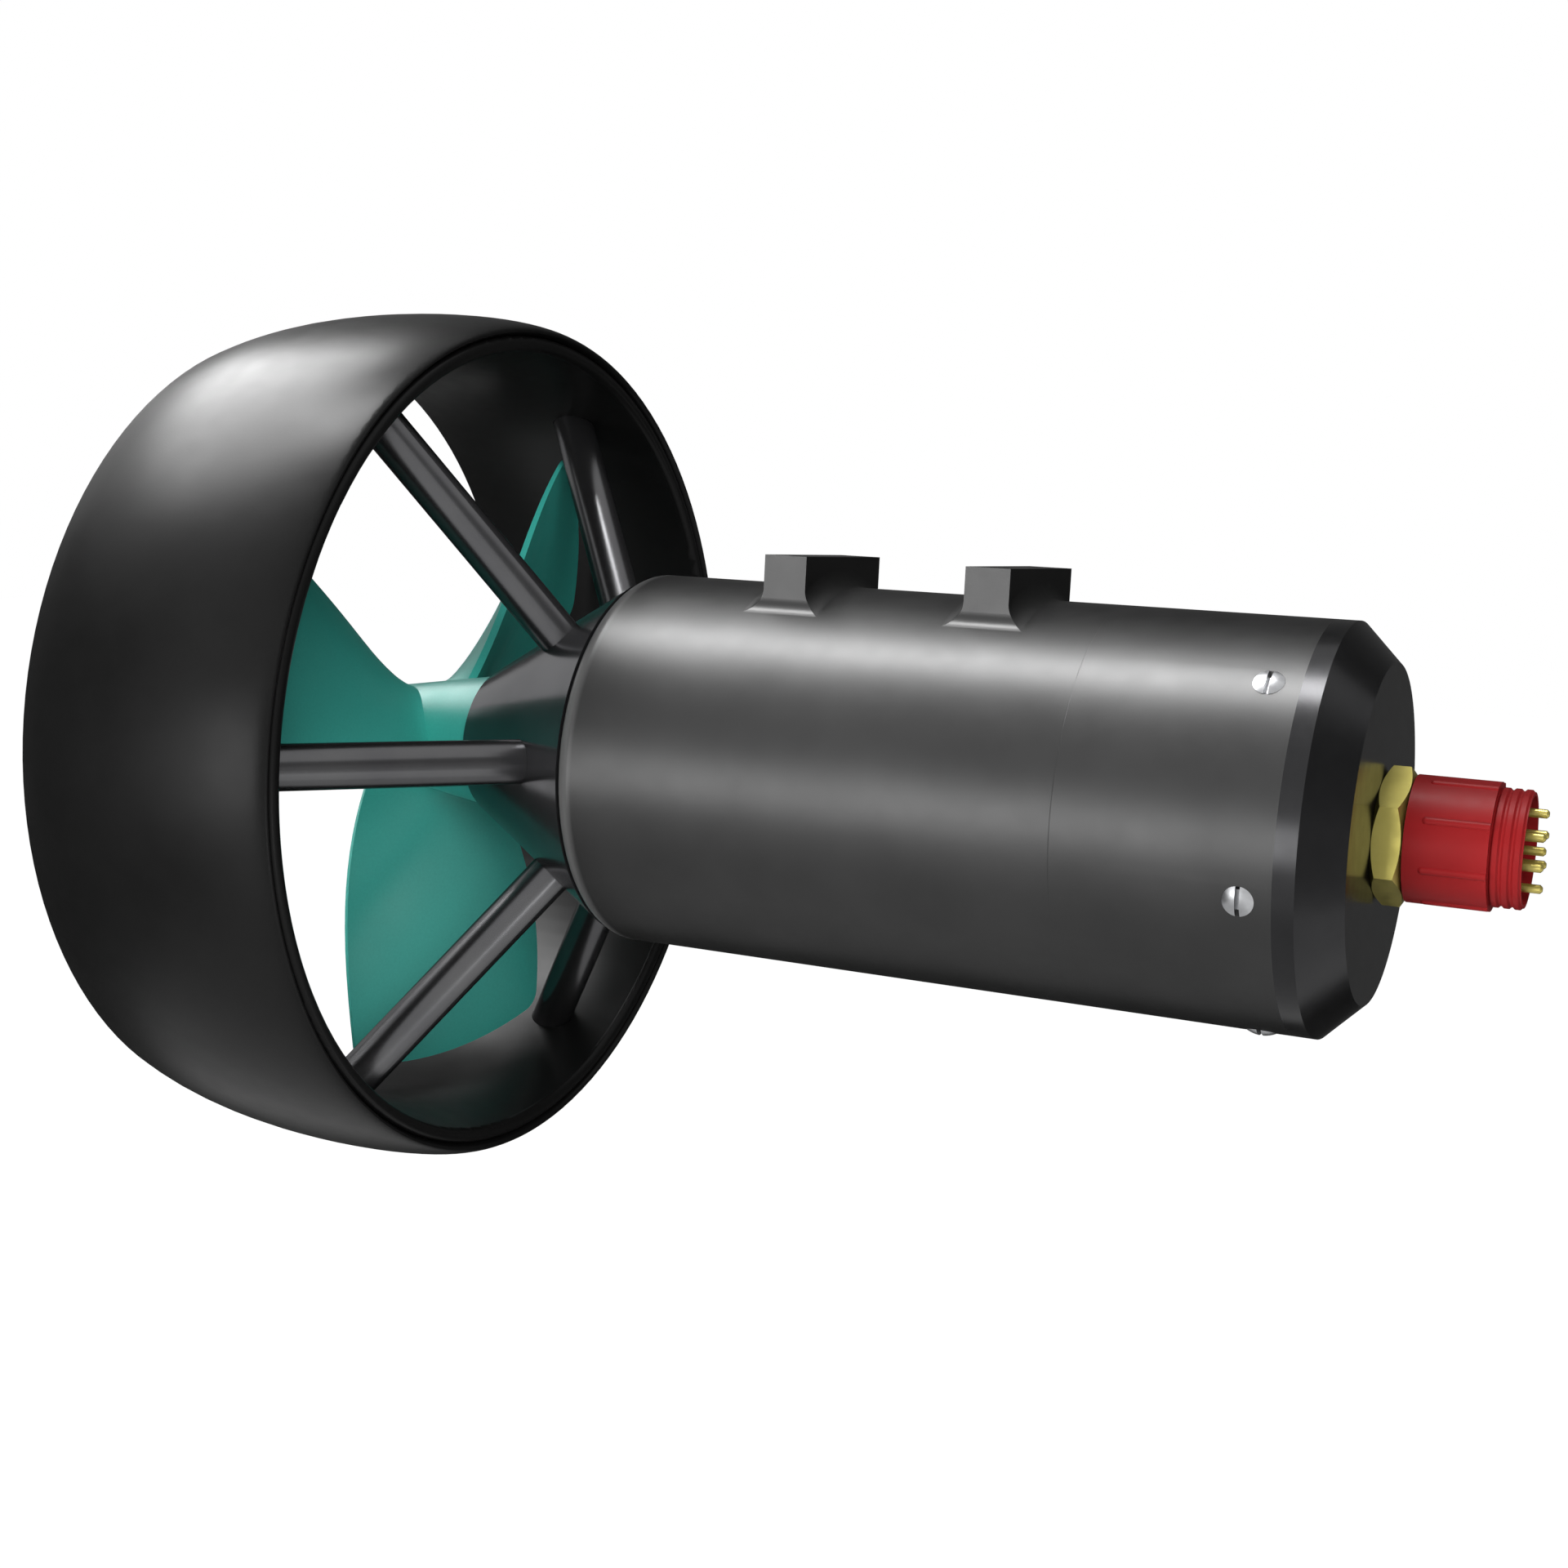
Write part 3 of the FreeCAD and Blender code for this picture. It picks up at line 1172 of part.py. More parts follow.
def make_standoffs():
    body = new_body("board_standoffs")
    post = new_sketch(body, "post_outline", "YZ_Plane", plate_rear)
    across = s.standoff_circle * cosine(Size(EIGHTH_TURN))
    circle(post, across, across, s.standoff_radius)
    pad = extruded(body, "post", post, s.standoff_length)
    hole = new_sketch(body, "post_hole_outline", "YZ_Plane", board_front)
    circle(hole, across, across, s.board_screw_radius + s.fit)
    cut = extruded(body, "post_hole", hole, s.board_screw_length, "Pocket")
    round_array(body, [pad, cut], s.standoff_count)
    return body


def make_controller_board():
    body = new_body("controller_board")
    turned(body, "board", rectangle(board_front, board_rear, 0, s.board_radius))
    hole = new_sketch(body, "board_hole_outline", "YZ_Plane", board_rear)
    across = s.standoff_circle * cosine(Size(EIGHTH_TURN))
    circle(hole, across, across, s.board_screw_radius + s.fit)
    cut = extruded(body, "board_hole", hole, s.board_thickness + s.fit, "Pocket")
    round_array(body, [cut], s.standoff_count)
    return body


def make_board_screws():
    body = new_body("board_screws")
    across = s.standoff_circle * cosine(Size(EIGHTH_TURN))
    head = new_sketch(body, "head_outline", "YZ_Plane", board_rear)
    circle(head, across, across, s.board_screw_head)
    head_pad = extruded(body, "head", head, s.board_screw_head_height)
    stem = new_sketch(body, "stem_outline", "YZ_Plane", board_rear)
    circle(stem, across, across, s.board_screw_radius)
    stem_pad = extruded(body, "stem", stem, s.board_screw_length, backwards=True)
    round_array(body, [head_pad, stem_pad], s.standoff_count)
    return body


def make_capacitors():
    body = new_body("capacitors")
    can = new_sketch(body, "can_outline", "YZ_Plane", board_rear)
    circle(can, 0, s.capacitor_circle, s.capacitor_radius)
    pad = extruded(body, "can", can, s.capacitor_height)
    round_array(body, [pad], s.capacitor_count)
    return body


def make_cone_screws():
    body = new_body("cone_screws")
    across = cone_screw_circle * cosine(Size(HALF_SIDE))
    up = cone_screw_circle / 2
    head = new_sketch(body, "cone_screw_head_outline", "YZ_Plane", bulkhead_rear)
    circle(head, across, up, s.cone_screw_head)
    head_pad = extruded(body, "cone_screw_head_pad", head, s.cone_screw_head_height)
    stem = new_sketch(body, "cone_screw_stem_outline", "YZ_Plane", bulkhead_rear)
    circle(stem, across, up, s.cone_screw_radius)
    stem_pad = extruded(body, "cone_screw_stem", stem, s.bulkhead + s.cone_screw_depth, backwards=True)
    round_array(body, [head_pad, stem_pad], s.cone_screw_count)
    return body


def make_shaft_seal():
    body = new_body("shaft_seal")
    inner = s.shaft_radius + s.running_fit
    rear = seal_front + s.seal_width
    lip = s.seal_width / 3
    wall = (s.seal_radius - inner) / 3
    turned(body, "seal", [
        (seal_front, inner + wall),
        (seal_front, s.seal_radius),
        (rear, s.seal_radius),
        (rear, s.seal_radius - wall),
        (rear - lip, s.seal_radius - wall),
        (rear - lip, inner),
        (seal_front + lip, inner),
    ])
    return body


def make_connector_body():
    body = new_body("connector_body")
    hexagon(body, "flange", s.hex_flats, s.insert_radius + s.fit, s.cap_length, s.hex_height)
    chamfer_hexagon(body, "flange_corners", s.hex_flats, s.cap_length, s.hex_height, s.hex_chamfer, True)
    bore = s.insert_radius + s.fit
    turned(body, "shank", rectangle(s.cap_length - s.shank_length, s.cap_length, bore, s.shank_radius))
    turned(body, "barrel", rectangle(hex_rear, barrel_rear, bore, s.barrel_radius))
    turned(body, "flange_groove", rectangle(
        s.cap_length, s.cap_length + s.connector_cord,
        s.shank_radius, s.shank_radius + s.connector_cord + s.fit * 2), "Groove")
    turned(body, "snap_ring_groove", rectangle(
        snap_ring_front, snap_ring_front + s.snap_ring_thickness,
        s.barrel_radius - s.snap_ring_depth, s.barrel_radius + s.fit), "Groove")
    return body


def make_lock_nut():
    body = new_body("connector_lock_nut")
    front = -s.lock_nut_height
    hexagon(body, "lock_nut", s.lock_nut_flats, s.shank_radius + s.fit, front, s.lock_nut_height)
    chamfer_hexagon(body, "lock_nut_corners", s.lock_nut_flats, front, s.lock_nut_height,
                    s.hex_chamfer, False)
    return body


def contact_places():
    """One contact above, one below and one in the middle, with four round it on a smaller circle."""
    places = [(size_of(0), s.contact_circle), (size_of(0), -s.contact_circle)]
    places.append((size_of(0), size_of(0)))
    for turn in INNER_CONTACT_TURNS:
        places.append((s.contact_inner * cosine(Size(turn)), s.contact_inner * sine(Size(turn))))
    return places


def make_contact_insert():
    body = new_body("contact_insert")
    turned(body, "insert", rectangle(insert_front, insert_rear, 0, s.insert_radius))
    holes = new_sketch(body, "contact_holes_outline", "YZ_Plane", insert_rear)
    for across, up in contact_places():
        circle(holes, across, up, s.contact_radius + s.fit)
    extruded(body, "contact_holes", holes, insert_rear - insert_front + s.fit, "Pocket")
    return body


def make_contact_pins():
    body = new_body("contact_pins")
    rods = new_sketch(body, "contact_rods_outline", "YZ_Plane", contact_front)
    for across, up in contact_places():
        circle(rods, across, up, s.contact_radius)
    pins = extruded(body, "contact_rods", rods, s.contact_tip - contact_front)
    near_tip = (s.contact_tip - s.contact_radius).value
    rims = []
    for number, edge in enumerate(pins.Shape.Edges, start=1):
        if edge.BoundBox.XMin > near_tip:
            rims.append("Edge%d" % number)
    bevel = body.newObject("PartDesign::Chamfer", "contact_tips")
    bevel.Base = (pins, rims)
    bind(bevel, "Size", s.contact_radius / 2)
    checked(bevel)
    return body


def make_locking_sleeve():
    body = new_body("locking_sleeve", s.sleeve_rib_phase)
    front = sleeve_front
    rear = front + s.sleeve_length
    step = front + s.sleeve_body
    low = s.sleeve_thread_radius - s.sleeve_thread_depth
    turned(body, "sleeve", [
        (front, s.barrel_radius + s.running_fit),
        (front, s.sleeve_radius),
        (step, s.sleeve_radius),
        (step, low),
        (rear, low),
        (rear, s.sleeve_bore),
        (front + s.sleeve_shoulder, s.sleeve_bore),
        (front + s.sleeve_shoulder, s.barrel_radius + s.running_fit),
    ])
    pitch = (s.sleeve_length - s.sleeve_body) / s.sleeve_ridge_count
    slope = s.sleeve_thread_depth
    inside = (low + s.sleeve_bore) / 2
    for index in range(int(s.sleeve_ridge_count.value)):
        crest = step + s.sleeve_ridge_lead + pitch * index
        crest_end = crest + s.sleeve_ridge_width
        turned(body, "ridge_%d" % (index + 1), [
            (crest - slope, inside),
            (crest - slope, low),
            (crest, s.sleeve_thread_radius),
            (crest_end, s.sleeve_thread_radius),
            (crest_end + slope, low),
            (crest_end + slope, inside),
        ])
    # Each rib is a round bead with a round start, sunk into the sleeve
    half = s.sleeve_rib_width / 2
    bead = s.sleeve_radius + s.sleeve_rib_rise - half
    start = front + s.sleeve_rib_start
    profile = new_sketch(body, "rib_profile")
    outline(profile, [
        (start, bead, half),
        (start + half, bead + half),
        (step, bead + half),
        (step, bead),
    ])
    rib = spun_about_line(body, "rib", profile, "Revolution")
    round_array(body, [rib], s.sleeve_rib_count)
    return body


def make_all():
    parts = [
        make_motor_housing(),
        make_electronics_housing(),
        make_end_cap(),
        make_cap_screws(),
        make_nose_cone(),
        make_duct_ring(),
    ]
    for index in range(int(s.strut_count.value)):
        parts.append(make_strut(index))
    parts += [
        make_propeller(),
        make_drive_shaft(),
        make_drive_pin(),
        ring("nut_washer", washer_front, s.shaft_thread_radius + s.fit, s.washer_radius, s.washer_thickness),
        make_propeller_nut(),
        make_shaft_seal(),
        o_ring("cone_o_ring", cone_ring_station, cone_spigot_radius - s.cord / 2, s.cord / 2),
        make_cone_screws(),
    ]
    parts += make_bearing("front", bearing_front)
    parts += make_bearing("rear", plate_front)
    parts += [
        make_retaining_ring("bearing_retaining_ring", bearing_rear, s.retainer_thickness,
                            s.bearing_radius - s.race_thickness, s.bearing_radius + s.retainer_depth),
        make_stator_core(),
        make_stator_windings(),
        ring("rotor_core", stator_front, s.rotor_seat_radius, rotor_radius - s.magnet_thickness,
             s.stator_length),
        make_rotor_magnets(),
        make_bearing_plate(),
        make_motor_leads(),
        make_retaining_ring("plate_retaining_ring", plate_rear, s.plate_ring_thickness,
                            bore_radius - s.plate_ring_width, bore_radius + s.plate_ring_depth),
        o_ring("joint_o_ring", joint_ring_station,
               bore_radius + s.joint_spigot_wall + s.fit - s.cord / 2, s.cord / 2),
        make_standoffs(),
        make_controller_board(),
        make_board_screws(),
        make_capacitors(),
        o_ring("cap_o_ring_front", -s.cap_ring_second, bore_radius - s.cord / 2, s.cord / 2),
        o_ring("cap_o_ring_rear", -s.cap_ring_first, bore_radius - s.cord / 2, s.cord / 2),
        make_connector_body(),
        o_ring("connector_o_ring", s.cap_length + s.connector_cord / 2,
               s.shank_radius + s.connector_cord / 2 + s.fit, s.connector_cord / 2),
        make_lock_nut(),
        make_contact_insert(),
        make_contact_pins(),
        make_contact_leads(),
        make_locking_sleeve(),
        make_retaining_ring("sleeve_snap_ring", snap_ring_front, s.snap_ring_thickness,
                            s.barrel_radius - s.snap_ring_depth + s.fit,
                            s.barrel_radius + s.snap_ring_rise),
    ]
    return parts


parts = make_all()
doc.recompute()
for thing in doc.Objects:
    if "Invalid" in thing.State or "Error" in thing.State:
        raise RuntimeError("%s failed: %s" % (thing.Label, thing.State))
for part in parts:
    if part.Shape.isNull() or not part.Shape.isValid():
        raise RuntimeError("%s has no valid shape" % part.Label)
os.makedirs("parts", exist_ok=True)
for part in parts:
    part.Shape.exportStep("parts/%s.step" % part.Label)
    print(part.Label, len(part.Shape.Solids), round(part.Shape.Volume, 1))
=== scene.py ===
import math

import bpy
from mathutils import Matrix, Vector


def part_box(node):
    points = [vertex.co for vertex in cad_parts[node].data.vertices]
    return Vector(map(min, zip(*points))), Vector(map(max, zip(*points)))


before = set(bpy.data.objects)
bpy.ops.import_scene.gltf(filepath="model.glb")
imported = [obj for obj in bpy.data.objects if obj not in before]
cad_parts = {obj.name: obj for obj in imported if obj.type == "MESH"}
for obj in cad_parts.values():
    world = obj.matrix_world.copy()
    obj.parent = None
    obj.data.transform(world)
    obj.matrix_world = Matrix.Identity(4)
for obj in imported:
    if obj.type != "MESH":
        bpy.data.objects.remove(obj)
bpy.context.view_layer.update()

MM = 0.001
WHITE = (1.0, 1.0, 1.0)

# The thruster's own axis in the part's frame, and the seam between the rear tube and the end cap
AXIS_HEIGHT = -43.85 * MM
SEAM = 81.3 * MM
STRUT_COUNT = 6

# Camera
CAMERA_PLACE = Vector((159.85, -396.48, 8.51)) * MM
CAMERA_HEADING = 25.23
CAMERA_DIP = 7.145
CAMERA_ROLL = 2.859
LENS = 50.0
SENSOR = 36.0


def set_camera():
    """Camera beside the connector's end, turned towards the duct and a little down."""
    data = bpy.data.cameras.new("camera")
    data.lens = LENS
    data.sensor_width = SENSOR
    data.sensor_height = SENSOR
    camera = bpy.data.objects.new("camera", data)
    bpy.context.scene.collection.objects.link(camera)
    turn = Matrix.Rotation(math.radians(CAMERA_HEADING), 4, "Z")
    tilt = Matrix.Rotation(math.radians(90 - CAMERA_DIP), 4, "X")
    roll = Matrix.Rotation(math.radians(CAMERA_ROLL), 4, "Z")
    camera.matrix_world = Matrix.Translation(CAMERA_PLACE) @ turn @ tilt @ roll
    bpy.context.scene.camera = camera


# Studio. Lamps and flags are placed from the point of the axis straight below the part's origin, in metres
FLOOR_DROP = 0.42
FLOOR_SIZE = 12.0
FLOOR_COLOUR = (0.7, 0.7, 0.7)
# Share of the seen floor that is its own glow, and how bright that glow is
FLOOR_GLOW = 0.85
FLOOR_BRIGHTNESS = 1.18
ROOM_LIGHT = 0.05
OVERHEAD_PLACE = (-0.55, 0.05, 1.35)
OVERHEAD_SIZE = (1.4, 1.0)
OVERHEAD_RADIANCE = 2.4
NEAR_PLACE = (0.7, -1.21, 0.65)
NEAR_SIZE = (1.0, 0.8)
NEAR_RADIANCE = 6.2
FRONT_PLACE = (-0.7, -1.3, -0.26)
FRONT_SIZE = (0.8, 0.6)
FRONT_RADIANCE = 15.0
RING_GLEAM_PLACE = (-1.37, 0.2, 1.43)
RING_GLEAM_SIZE = (0.7, 1.7)
RING_GLEAM_RADIANCE = 13.2
HOUSING_STREAK_PLACE = (-0.55, -0.14, 1.92)
HOUSING_STREAK_SIZE = (1.2, 0.5)
HOUSING_STREAK_RADIANCE = 27.0
NEAR_STREAK_PLACE = (-0.64, -1.75, -0.32)
NEAR_STREAK_SIZE = (0.95, 1.1)
NEAR_STREAK_RADIANCE = 6.3
BLADE_GLEAM_PLACE = (0.95, -0.38, -0.27)
BLADE_GLEAM_SIZE = (0.5, 0.28)
BLADE_GLEAM_RADIANCE = 6.5
FLAG_SIZE = (1.2, 1.8)
DARK_FLAG_GREY = 0.03
END_FLAG_PLACE = (0.9, 0.3, 0.0)
END_FLAG_GREY = 0.26
FAR_FLAG_PLACE = (-0.1, 0.9, 0.4)
FAR_FLAG_SIZE = (2.0, 2.6)
FAR_FLAG_GREY = 0.08
LEFT_FLAG_PLACE = (-0.9, -0.45, -0.2)
LEFT_FLAG_SIZE = (1.2, 0.9)
LOW_LEFT_FLAG_PLACE = (-1.1, -0.1, -0.4)
LOW_FAR_FLAG_PLACE = (0, 1.12, -0.4)
LOW_NEAR_FLAG_PLACE = (-0.15, -0.14, -0.4)
LOW_NEAR_FLAG_SIZE = (0.7, 0.72)
LOW_NEAR_FLAG_GREY = 0.75
# Turns of a flag that faces along the axis, sideways or up
QUARTER_TURN = math.pi / 2
FACING_ALONG = (0, QUARTER_TURN, 0)
FACING_SIDEWAYS = (QUARTER_TURN, QUARTER_TURN, 0)
FACING_UP = (0, 0, 0)


def seen_rays(tree):
    """One where a ray comes from the camera, a mirror-like surface or through glass."""
    paths = tree.nodes.new("ShaderNodeLightPath")
    first = tree.nodes.new("ShaderNodeMath")
    first.operation = "MAXIMUM"
    tree.links.new(paths.outputs["Is Camera Ray"], first.inputs[0])
    tree.links.new(paths.outputs["Is Glossy Ray"], first.inputs[1])
    both = tree.nodes.new("ShaderNodeMath")
    both.operation = "MAXIMUM"
    tree.links.new(first.outputs[0], both.inputs[0])
    tree.links.new(paths.outputs["Is Transmission Ray"], both.inputs[1])
    return both.outputs[0]


def set_room():
    """White room: white where it is seen, and a plain soft light on the object."""
    world = bpy.data.worlds.new("white_room")
    world.use_nodes = True
    tree = world.node_tree
    tree.nodes.clear()
    soft = tree.nodes.new("ShaderNodeBackground")
    soft.inputs["Color"].default_value = (*WHITE, 1)
    soft.inputs["Strength"].default_value = ROOM_LIGHT
    seen = tree.nodes.new("ShaderNodeBackground")
    seen.inputs["Color"].default_value = (*WHITE, 1)
    seen.inputs["Strength"].default_value = 1.0
    mix = tree.nodes.new("ShaderNodeMixShader")
    tree.links.new(seen_rays(tree), mix.inputs["Fac"])
    tree.links.new(soft.outputs[0], mix.inputs[1])
    tree.links.new(seen.outputs[0], mix.inputs[2])
    output = tree.nodes.new("ShaderNodeOutputWorld")
    tree.links.new(mix.outputs[0], output.inputs["Surface"])
    bpy.context.scene.world = world


def floor_finish():
    """Pale floor that takes the object's shadow and melts into the room."""
    material = bpy.data.materials.new("pale_floor")
    material.use_nodes = True
    tree = material.node_tree
    tree.nodes.clear()
    matt = tree.nodes.new("ShaderNodeBsdfDiffuse")
    matt.inputs["Color"].default_value = (*FLOOR_COLOUR, 1)
    glow = tree.nodes.new("ShaderNodeEmission")
    glow.inputs["Color"].default_value = (*WHITE, 1)
    glow.inputs["Strength"].default_value = FLOOR_BRIGHTNESS
    share = tree.nodes.new("ShaderNodeMath")
    share.operation = "MULTIPLY"
    share.inputs[1].default_value = FLOOR_GLOW
    tree.links.new(seen_rays(tree), share.inputs[0])
    mix = tree.nodes.new("ShaderNodeMixShader")
    tree.links.new(share.outputs[0], mix.inputs["Fac"])
    tree.links.new(matt.outputs[0], mix.inputs[1])
    tree.links.new(glow.outputs[0], mix.inputs[2])
    output = tree.nodes.new("ShaderNodeOutputMaterial")
    tree.links.new(mix.outputs[0], output.inputs["Surface"])
    return material


def set_floor():
    """Wide level floor below the thruster."""
    bpy.ops.mesh.primitive_plane_add(size=FLOOR_SIZE, location=(0, 0, AXIS_HEIGHT - FLOOR_DROP))
    floor = bpy.context.active_object
    floor.name = "floor"
    floor.data.materials.append(floor_finish())


def softbox(name, place, size, radiance, reflection_only=False):
    """Flat lamp of that radiance, its long side level, facing the thruster's middle."""
    length, width = size
    data = bpy.data.lights.new(name, "AREA")
    data.shape = "RECTANGLE"
    data.size = length
    data.size_y = width
    data.energy = radiance * math.pi * length * width
    lamp = bpy.data.objects.new(name, data)
    bpy.context.scene.collection.objects.link(lamp)
    middle = Vector((0, 0, AXIS_HEIGHT))
    back = Vector(place).normalized()
    along = Vector((1, 0, 0))
    along = (along - back * along.dot(back)).normalized()
    across = back.cross(along)
    turn = Matrix((along, across, back)).transposed().to_4x4()
    lamp.matrix_world = Matrix.Translation(middle + Vector(place)) @ turn
    lamp.visible_camera = False
    lamp.visible_diffuse = not reflection_only
    lamp.visible_glossy = reflection_only


def set_lamps():
    """Three soft lamps that light the colours, and four that only show as bright places on the gloss."""
    softbox("overhead_softbox", OVERHEAD_PLACE, OVERHEAD_SIZE, OVERHEAD_RADIANCE)
    softbox("near_softbox", NEAR_PLACE, NEAR_SIZE, NEAR_RADIANCE)
    softbox("front_softbox", FRONT_PLACE, FRONT_SIZE, FRONT_RADIANCE)
    softbox("ring_gleam", RING_GLEAM_PLACE, RING_GLEAM_SIZE, RING_GLEAM_RADIANCE, True)
    softbox("housing_streak", HOUSING_STREAK_PLACE, HOUSING_STREAK_SIZE, HOUSING_STREAK_RADIANCE, True)
    softbox("near_streak", NEAR_STREAK_PLACE, NEAR_STREAK_SIZE, NEAR_STREAK_RADIANCE, True)
    softbox("blade_gleam", BLADE_GLEAM_PLACE, BLADE_GLEAM_SIZE, BLADE_GLEAM_RADIANCE, True)


def set_flag(name, grey, size, place, turn):
    """Evenly grey card that only reflections see. It keeps the dark pieces dark along their edges."""
    x, y, z = place
    bpy.ops.mesh.primitive_plane_add(size=1, location=(x, y, AXIS_HEIGHT + z), rotation=turn)
    flag = bpy.context.active_object
    flag.scale = (*size, 1)
    flag.name = name
    material = bpy.data.materials.new(name)
    material.use_nodes = True
    tree = material.node_tree
    tree.nodes.clear()
    dark = tree.nodes.new("ShaderNodeEmission")
    dark.inputs["Color"].default_value = (*WHITE, 1)
    dark.inputs["Strength"].default_value = grey
    output = tree.nodes.new("ShaderNodeOutputMaterial")
    tree.links.new(dark.outputs[0], output.inputs["Surface"])
    flag.data.materials.append(material)
    flag.visible_camera = False
    flag.visible_diffuse = False
    flag.visible_shadow = False


def set_flags():
    """Three upright flags beyond the ends and the far side, and three level ones below the thruster."""
    set_flag("end_flag", END_FLAG_GREY, FLAG_SIZE, END_FLAG_PLACE, FACING_ALONG)
    set_flag("far_flag", FAR_FLAG_GREY, FAR_FLAG_SIZE, FAR_FLAG_PLACE, FACING_SIDEWAYS)
    set_flag("left_flag", DARK_FLAG_GREY, LEFT_FLAG_SIZE, LEFT_FLAG_PLACE, FACING_ALONG)
    set_flag("low_left_flag", DARK_FLAG_GREY, FLAG_SIZE, LOW_LEFT_FLAG_PLACE, FACING_UP)
    set_flag("low_far_flag", DARK_FLAG_GREY, FLAG_SIZE, LOW_FAR_FLAG_PLACE, FACING_UP)
    set_flag("low_near_flag", LOW_NEAR_FLAG_GREY, LOW_NEAR_FLAG_SIZE, LOW_NEAR_FLAG_PLACE, FACING_UP)


# Patterns. Random ones keep mostly between these two values, and the wave texture has its own factor
# between a place and the angle of its wave
PATTERN_LOW = 0.3
PATTERN_HIGH = 0.7
WAVE_FACTOR = 20


class Finish:
    """One material. Its colour, gloss and relief come from patterns that are fixed to the piece."""

    def __init__(self, name, metallic=0.0, specular=0.5, edge_tint=WHITE, coat=0.0):
        self.material = bpy.data.materials.new(name)
        self.material.use_nodes = True
        self.tree = self.material.node_tree
        self.shader = self.tree.nodes["Principled BSDF"]
        self.shader.inputs["Metallic"].default_value = metallic
        self.shader.inputs["Specular IOR Level"].default_value = specular
        self.shader.inputs["Specular Tint"].default_value = (*edge_tint, 1)
        self.shader.inputs["Coat Weight"].default_value = coat
        self.place = self.tree.nodes.new("ShaderNodeTexCoord").outputs["Object"]
        self.relief = None

    def centred(self, stretch=(1, 1, 1)):
        """Place on the piece, counted from the thruster's axis and stretched along the three ways."""
        move = self.tree.nodes.new("ShaderNodeVectorMath")
        move.operation = "SUBTRACT"
        move.inputs[1].default_value = (SEAM, 0, AXIS_HEIGHT)
        self.tree.links.new(self.place, move.inputs[0])
        scale = self.tree.nodes.new("ShaderNodeVectorMath")
        scale.operation = "DIVIDE"
        scale.inputs[1].default_value = stretch
        self.tree.links.new(move.outputs[0], scale.inputs[0])
        return scale.outputs[0]

    def clouds(self, size, detail=3.0, stretch=(1, 1, 1)):
        """Soft random pattern with features of about that size in metres."""
        noise = self.tree.nodes.new("ShaderNodeTexNoise")
        noise.inputs["Scale"].default_value = 1 / size
        noise.inputs["Detail"].default_value = detail
        self.tree.links.new(self.centred(stretch), noise.inputs["Vector"])
        return noise.outputs["Fac"]

    def bands(self, spacing, waver=0.0, rings=False):
        """Even lines across the thruster's axis, or rings round it."""
        wave = self.tree.nodes.new("ShaderNodeTexWave")
        wave.wave_type = "RINGS" if rings else "BANDS"
        wave.rings_direction = "X"
        wave.bands_direction = "X"
        wave.inputs["Scale"].default_value = 2 * math.pi / (WAVE_FACTOR * spacing)
        wave.inputs["Distortion"].default_value = waver
        self.tree.links.new(self.centred(), wave.inputs["Vector"])
        return wave.outputs["Fac"]

    def cells(self, size):
        """Random cells of about that size, with straight sides."""
        voronoi = self.tree.nodes.new("ShaderNodeTexVoronoi")
        voronoi.distance = "MANHATTAN"
        voronoi.inputs["Scale"].default_value = 1 / size
        self.tree.links.new(self.centred(), voronoi.inputs["Vector"])
        return voronoi.outputs["Distance"]

    def ranged(self, pattern, low, high, start=PATTERN_LOW, end=PATTERN_HIGH):
        """The pattern's stretch from start to end, spread from low to high."""
        remap = self.tree.nodes.new("ShaderNodeMapRange")
        remap.inputs["From Min"].default_value = start
        remap.inputs["From Max"].default_value = end
        remap.inputs["To Min"].default_value = low
        remap.inputs["To Max"].default_value = high
        self.tree.links.new(pattern, remap.inputs["Value"])
        return remap.outputs["Result"]

    def along(self):
        """How far the place is in front of or behind the seam, in metres."""
        parts = self.tree.nodes.new("ShaderNodeSeparateXYZ")
        self.tree.links.new(self.centred(), parts.inputs[0])
        return parts.outputs["X"]

    def hairline(self, place, width):
        """One everywhere, and less inside a line of that width across the axis."""
        shift = self.tree.nodes.new("ShaderNodeMath")
        shift.operation = "SUBTRACT"
        shift.inputs[1].default_value = place
        self.tree.links.new(self.along(), shift.inputs[0])
        apart = self.tree.nodes.new("ShaderNodeMath")
        apart.operation = "ABSOLUTE"
        self.tree.links.new(shift.outputs[0], apart.inputs[0])
        return self.ranged(apart.outputs[0], 0, 1, 0, width / 2)

    def blend(self, factor, first, second):
        """Base colour that goes from the first to the second, each a colour or a node's output."""
        mix = self.tree.nodes.new("ShaderNodeMix")
        mix.data_type = "RGBA"
        sockets = [socket for socket in mix.inputs if socket.type == "RGBA"]
        for socket, value in zip(sockets, (first, second)):
            if isinstance(value, tuple):
                socket.default_value = (*value, 1)
            else:
                self.tree.links.new(value, socket)
        self.tree.links.new(factor, mix.inputs["Factor"])
        blended = [socket for socket in mix.outputs if socket.type == "RGBA"][0]
        self.tree.links.new(blended, self.shader.inputs["Base Color"])
        return blended

    def colour(self, pattern, first, second, start=PATTERN_LOW, end=PATTERN_HIGH):
        """Base colour that goes from the first to the second with the pattern."""
        return self.blend(self.ranged(pattern, 0, 1, start, end), first, second)

    def gloss(self, pattern, low, high):
        """Roughness that varies with the pattern."""
        self.tree.links.new(self.ranged(pattern, low, high), self.shader.inputs["Roughness"])

    def press(self, pattern, depth):
        """Relief of that depth in metres, on top of the relief so far."""
        bump = self.tree.nodes.new("ShaderNodeBump")
        bump.inputs["Strength"].default_value = 1.0
        bump.inputs["Distance"].default_value = depth
        self.tree.links.new(pattern, bump.inputs["Height"])
        if self.relief is not None:
            self.tree.links.new(self.relief, bump.inputs["Normal"])
        self.relief = bump.outputs["Normal"]
        self.tree.links.new(self.relief, self.shader.inputs["Normal"])


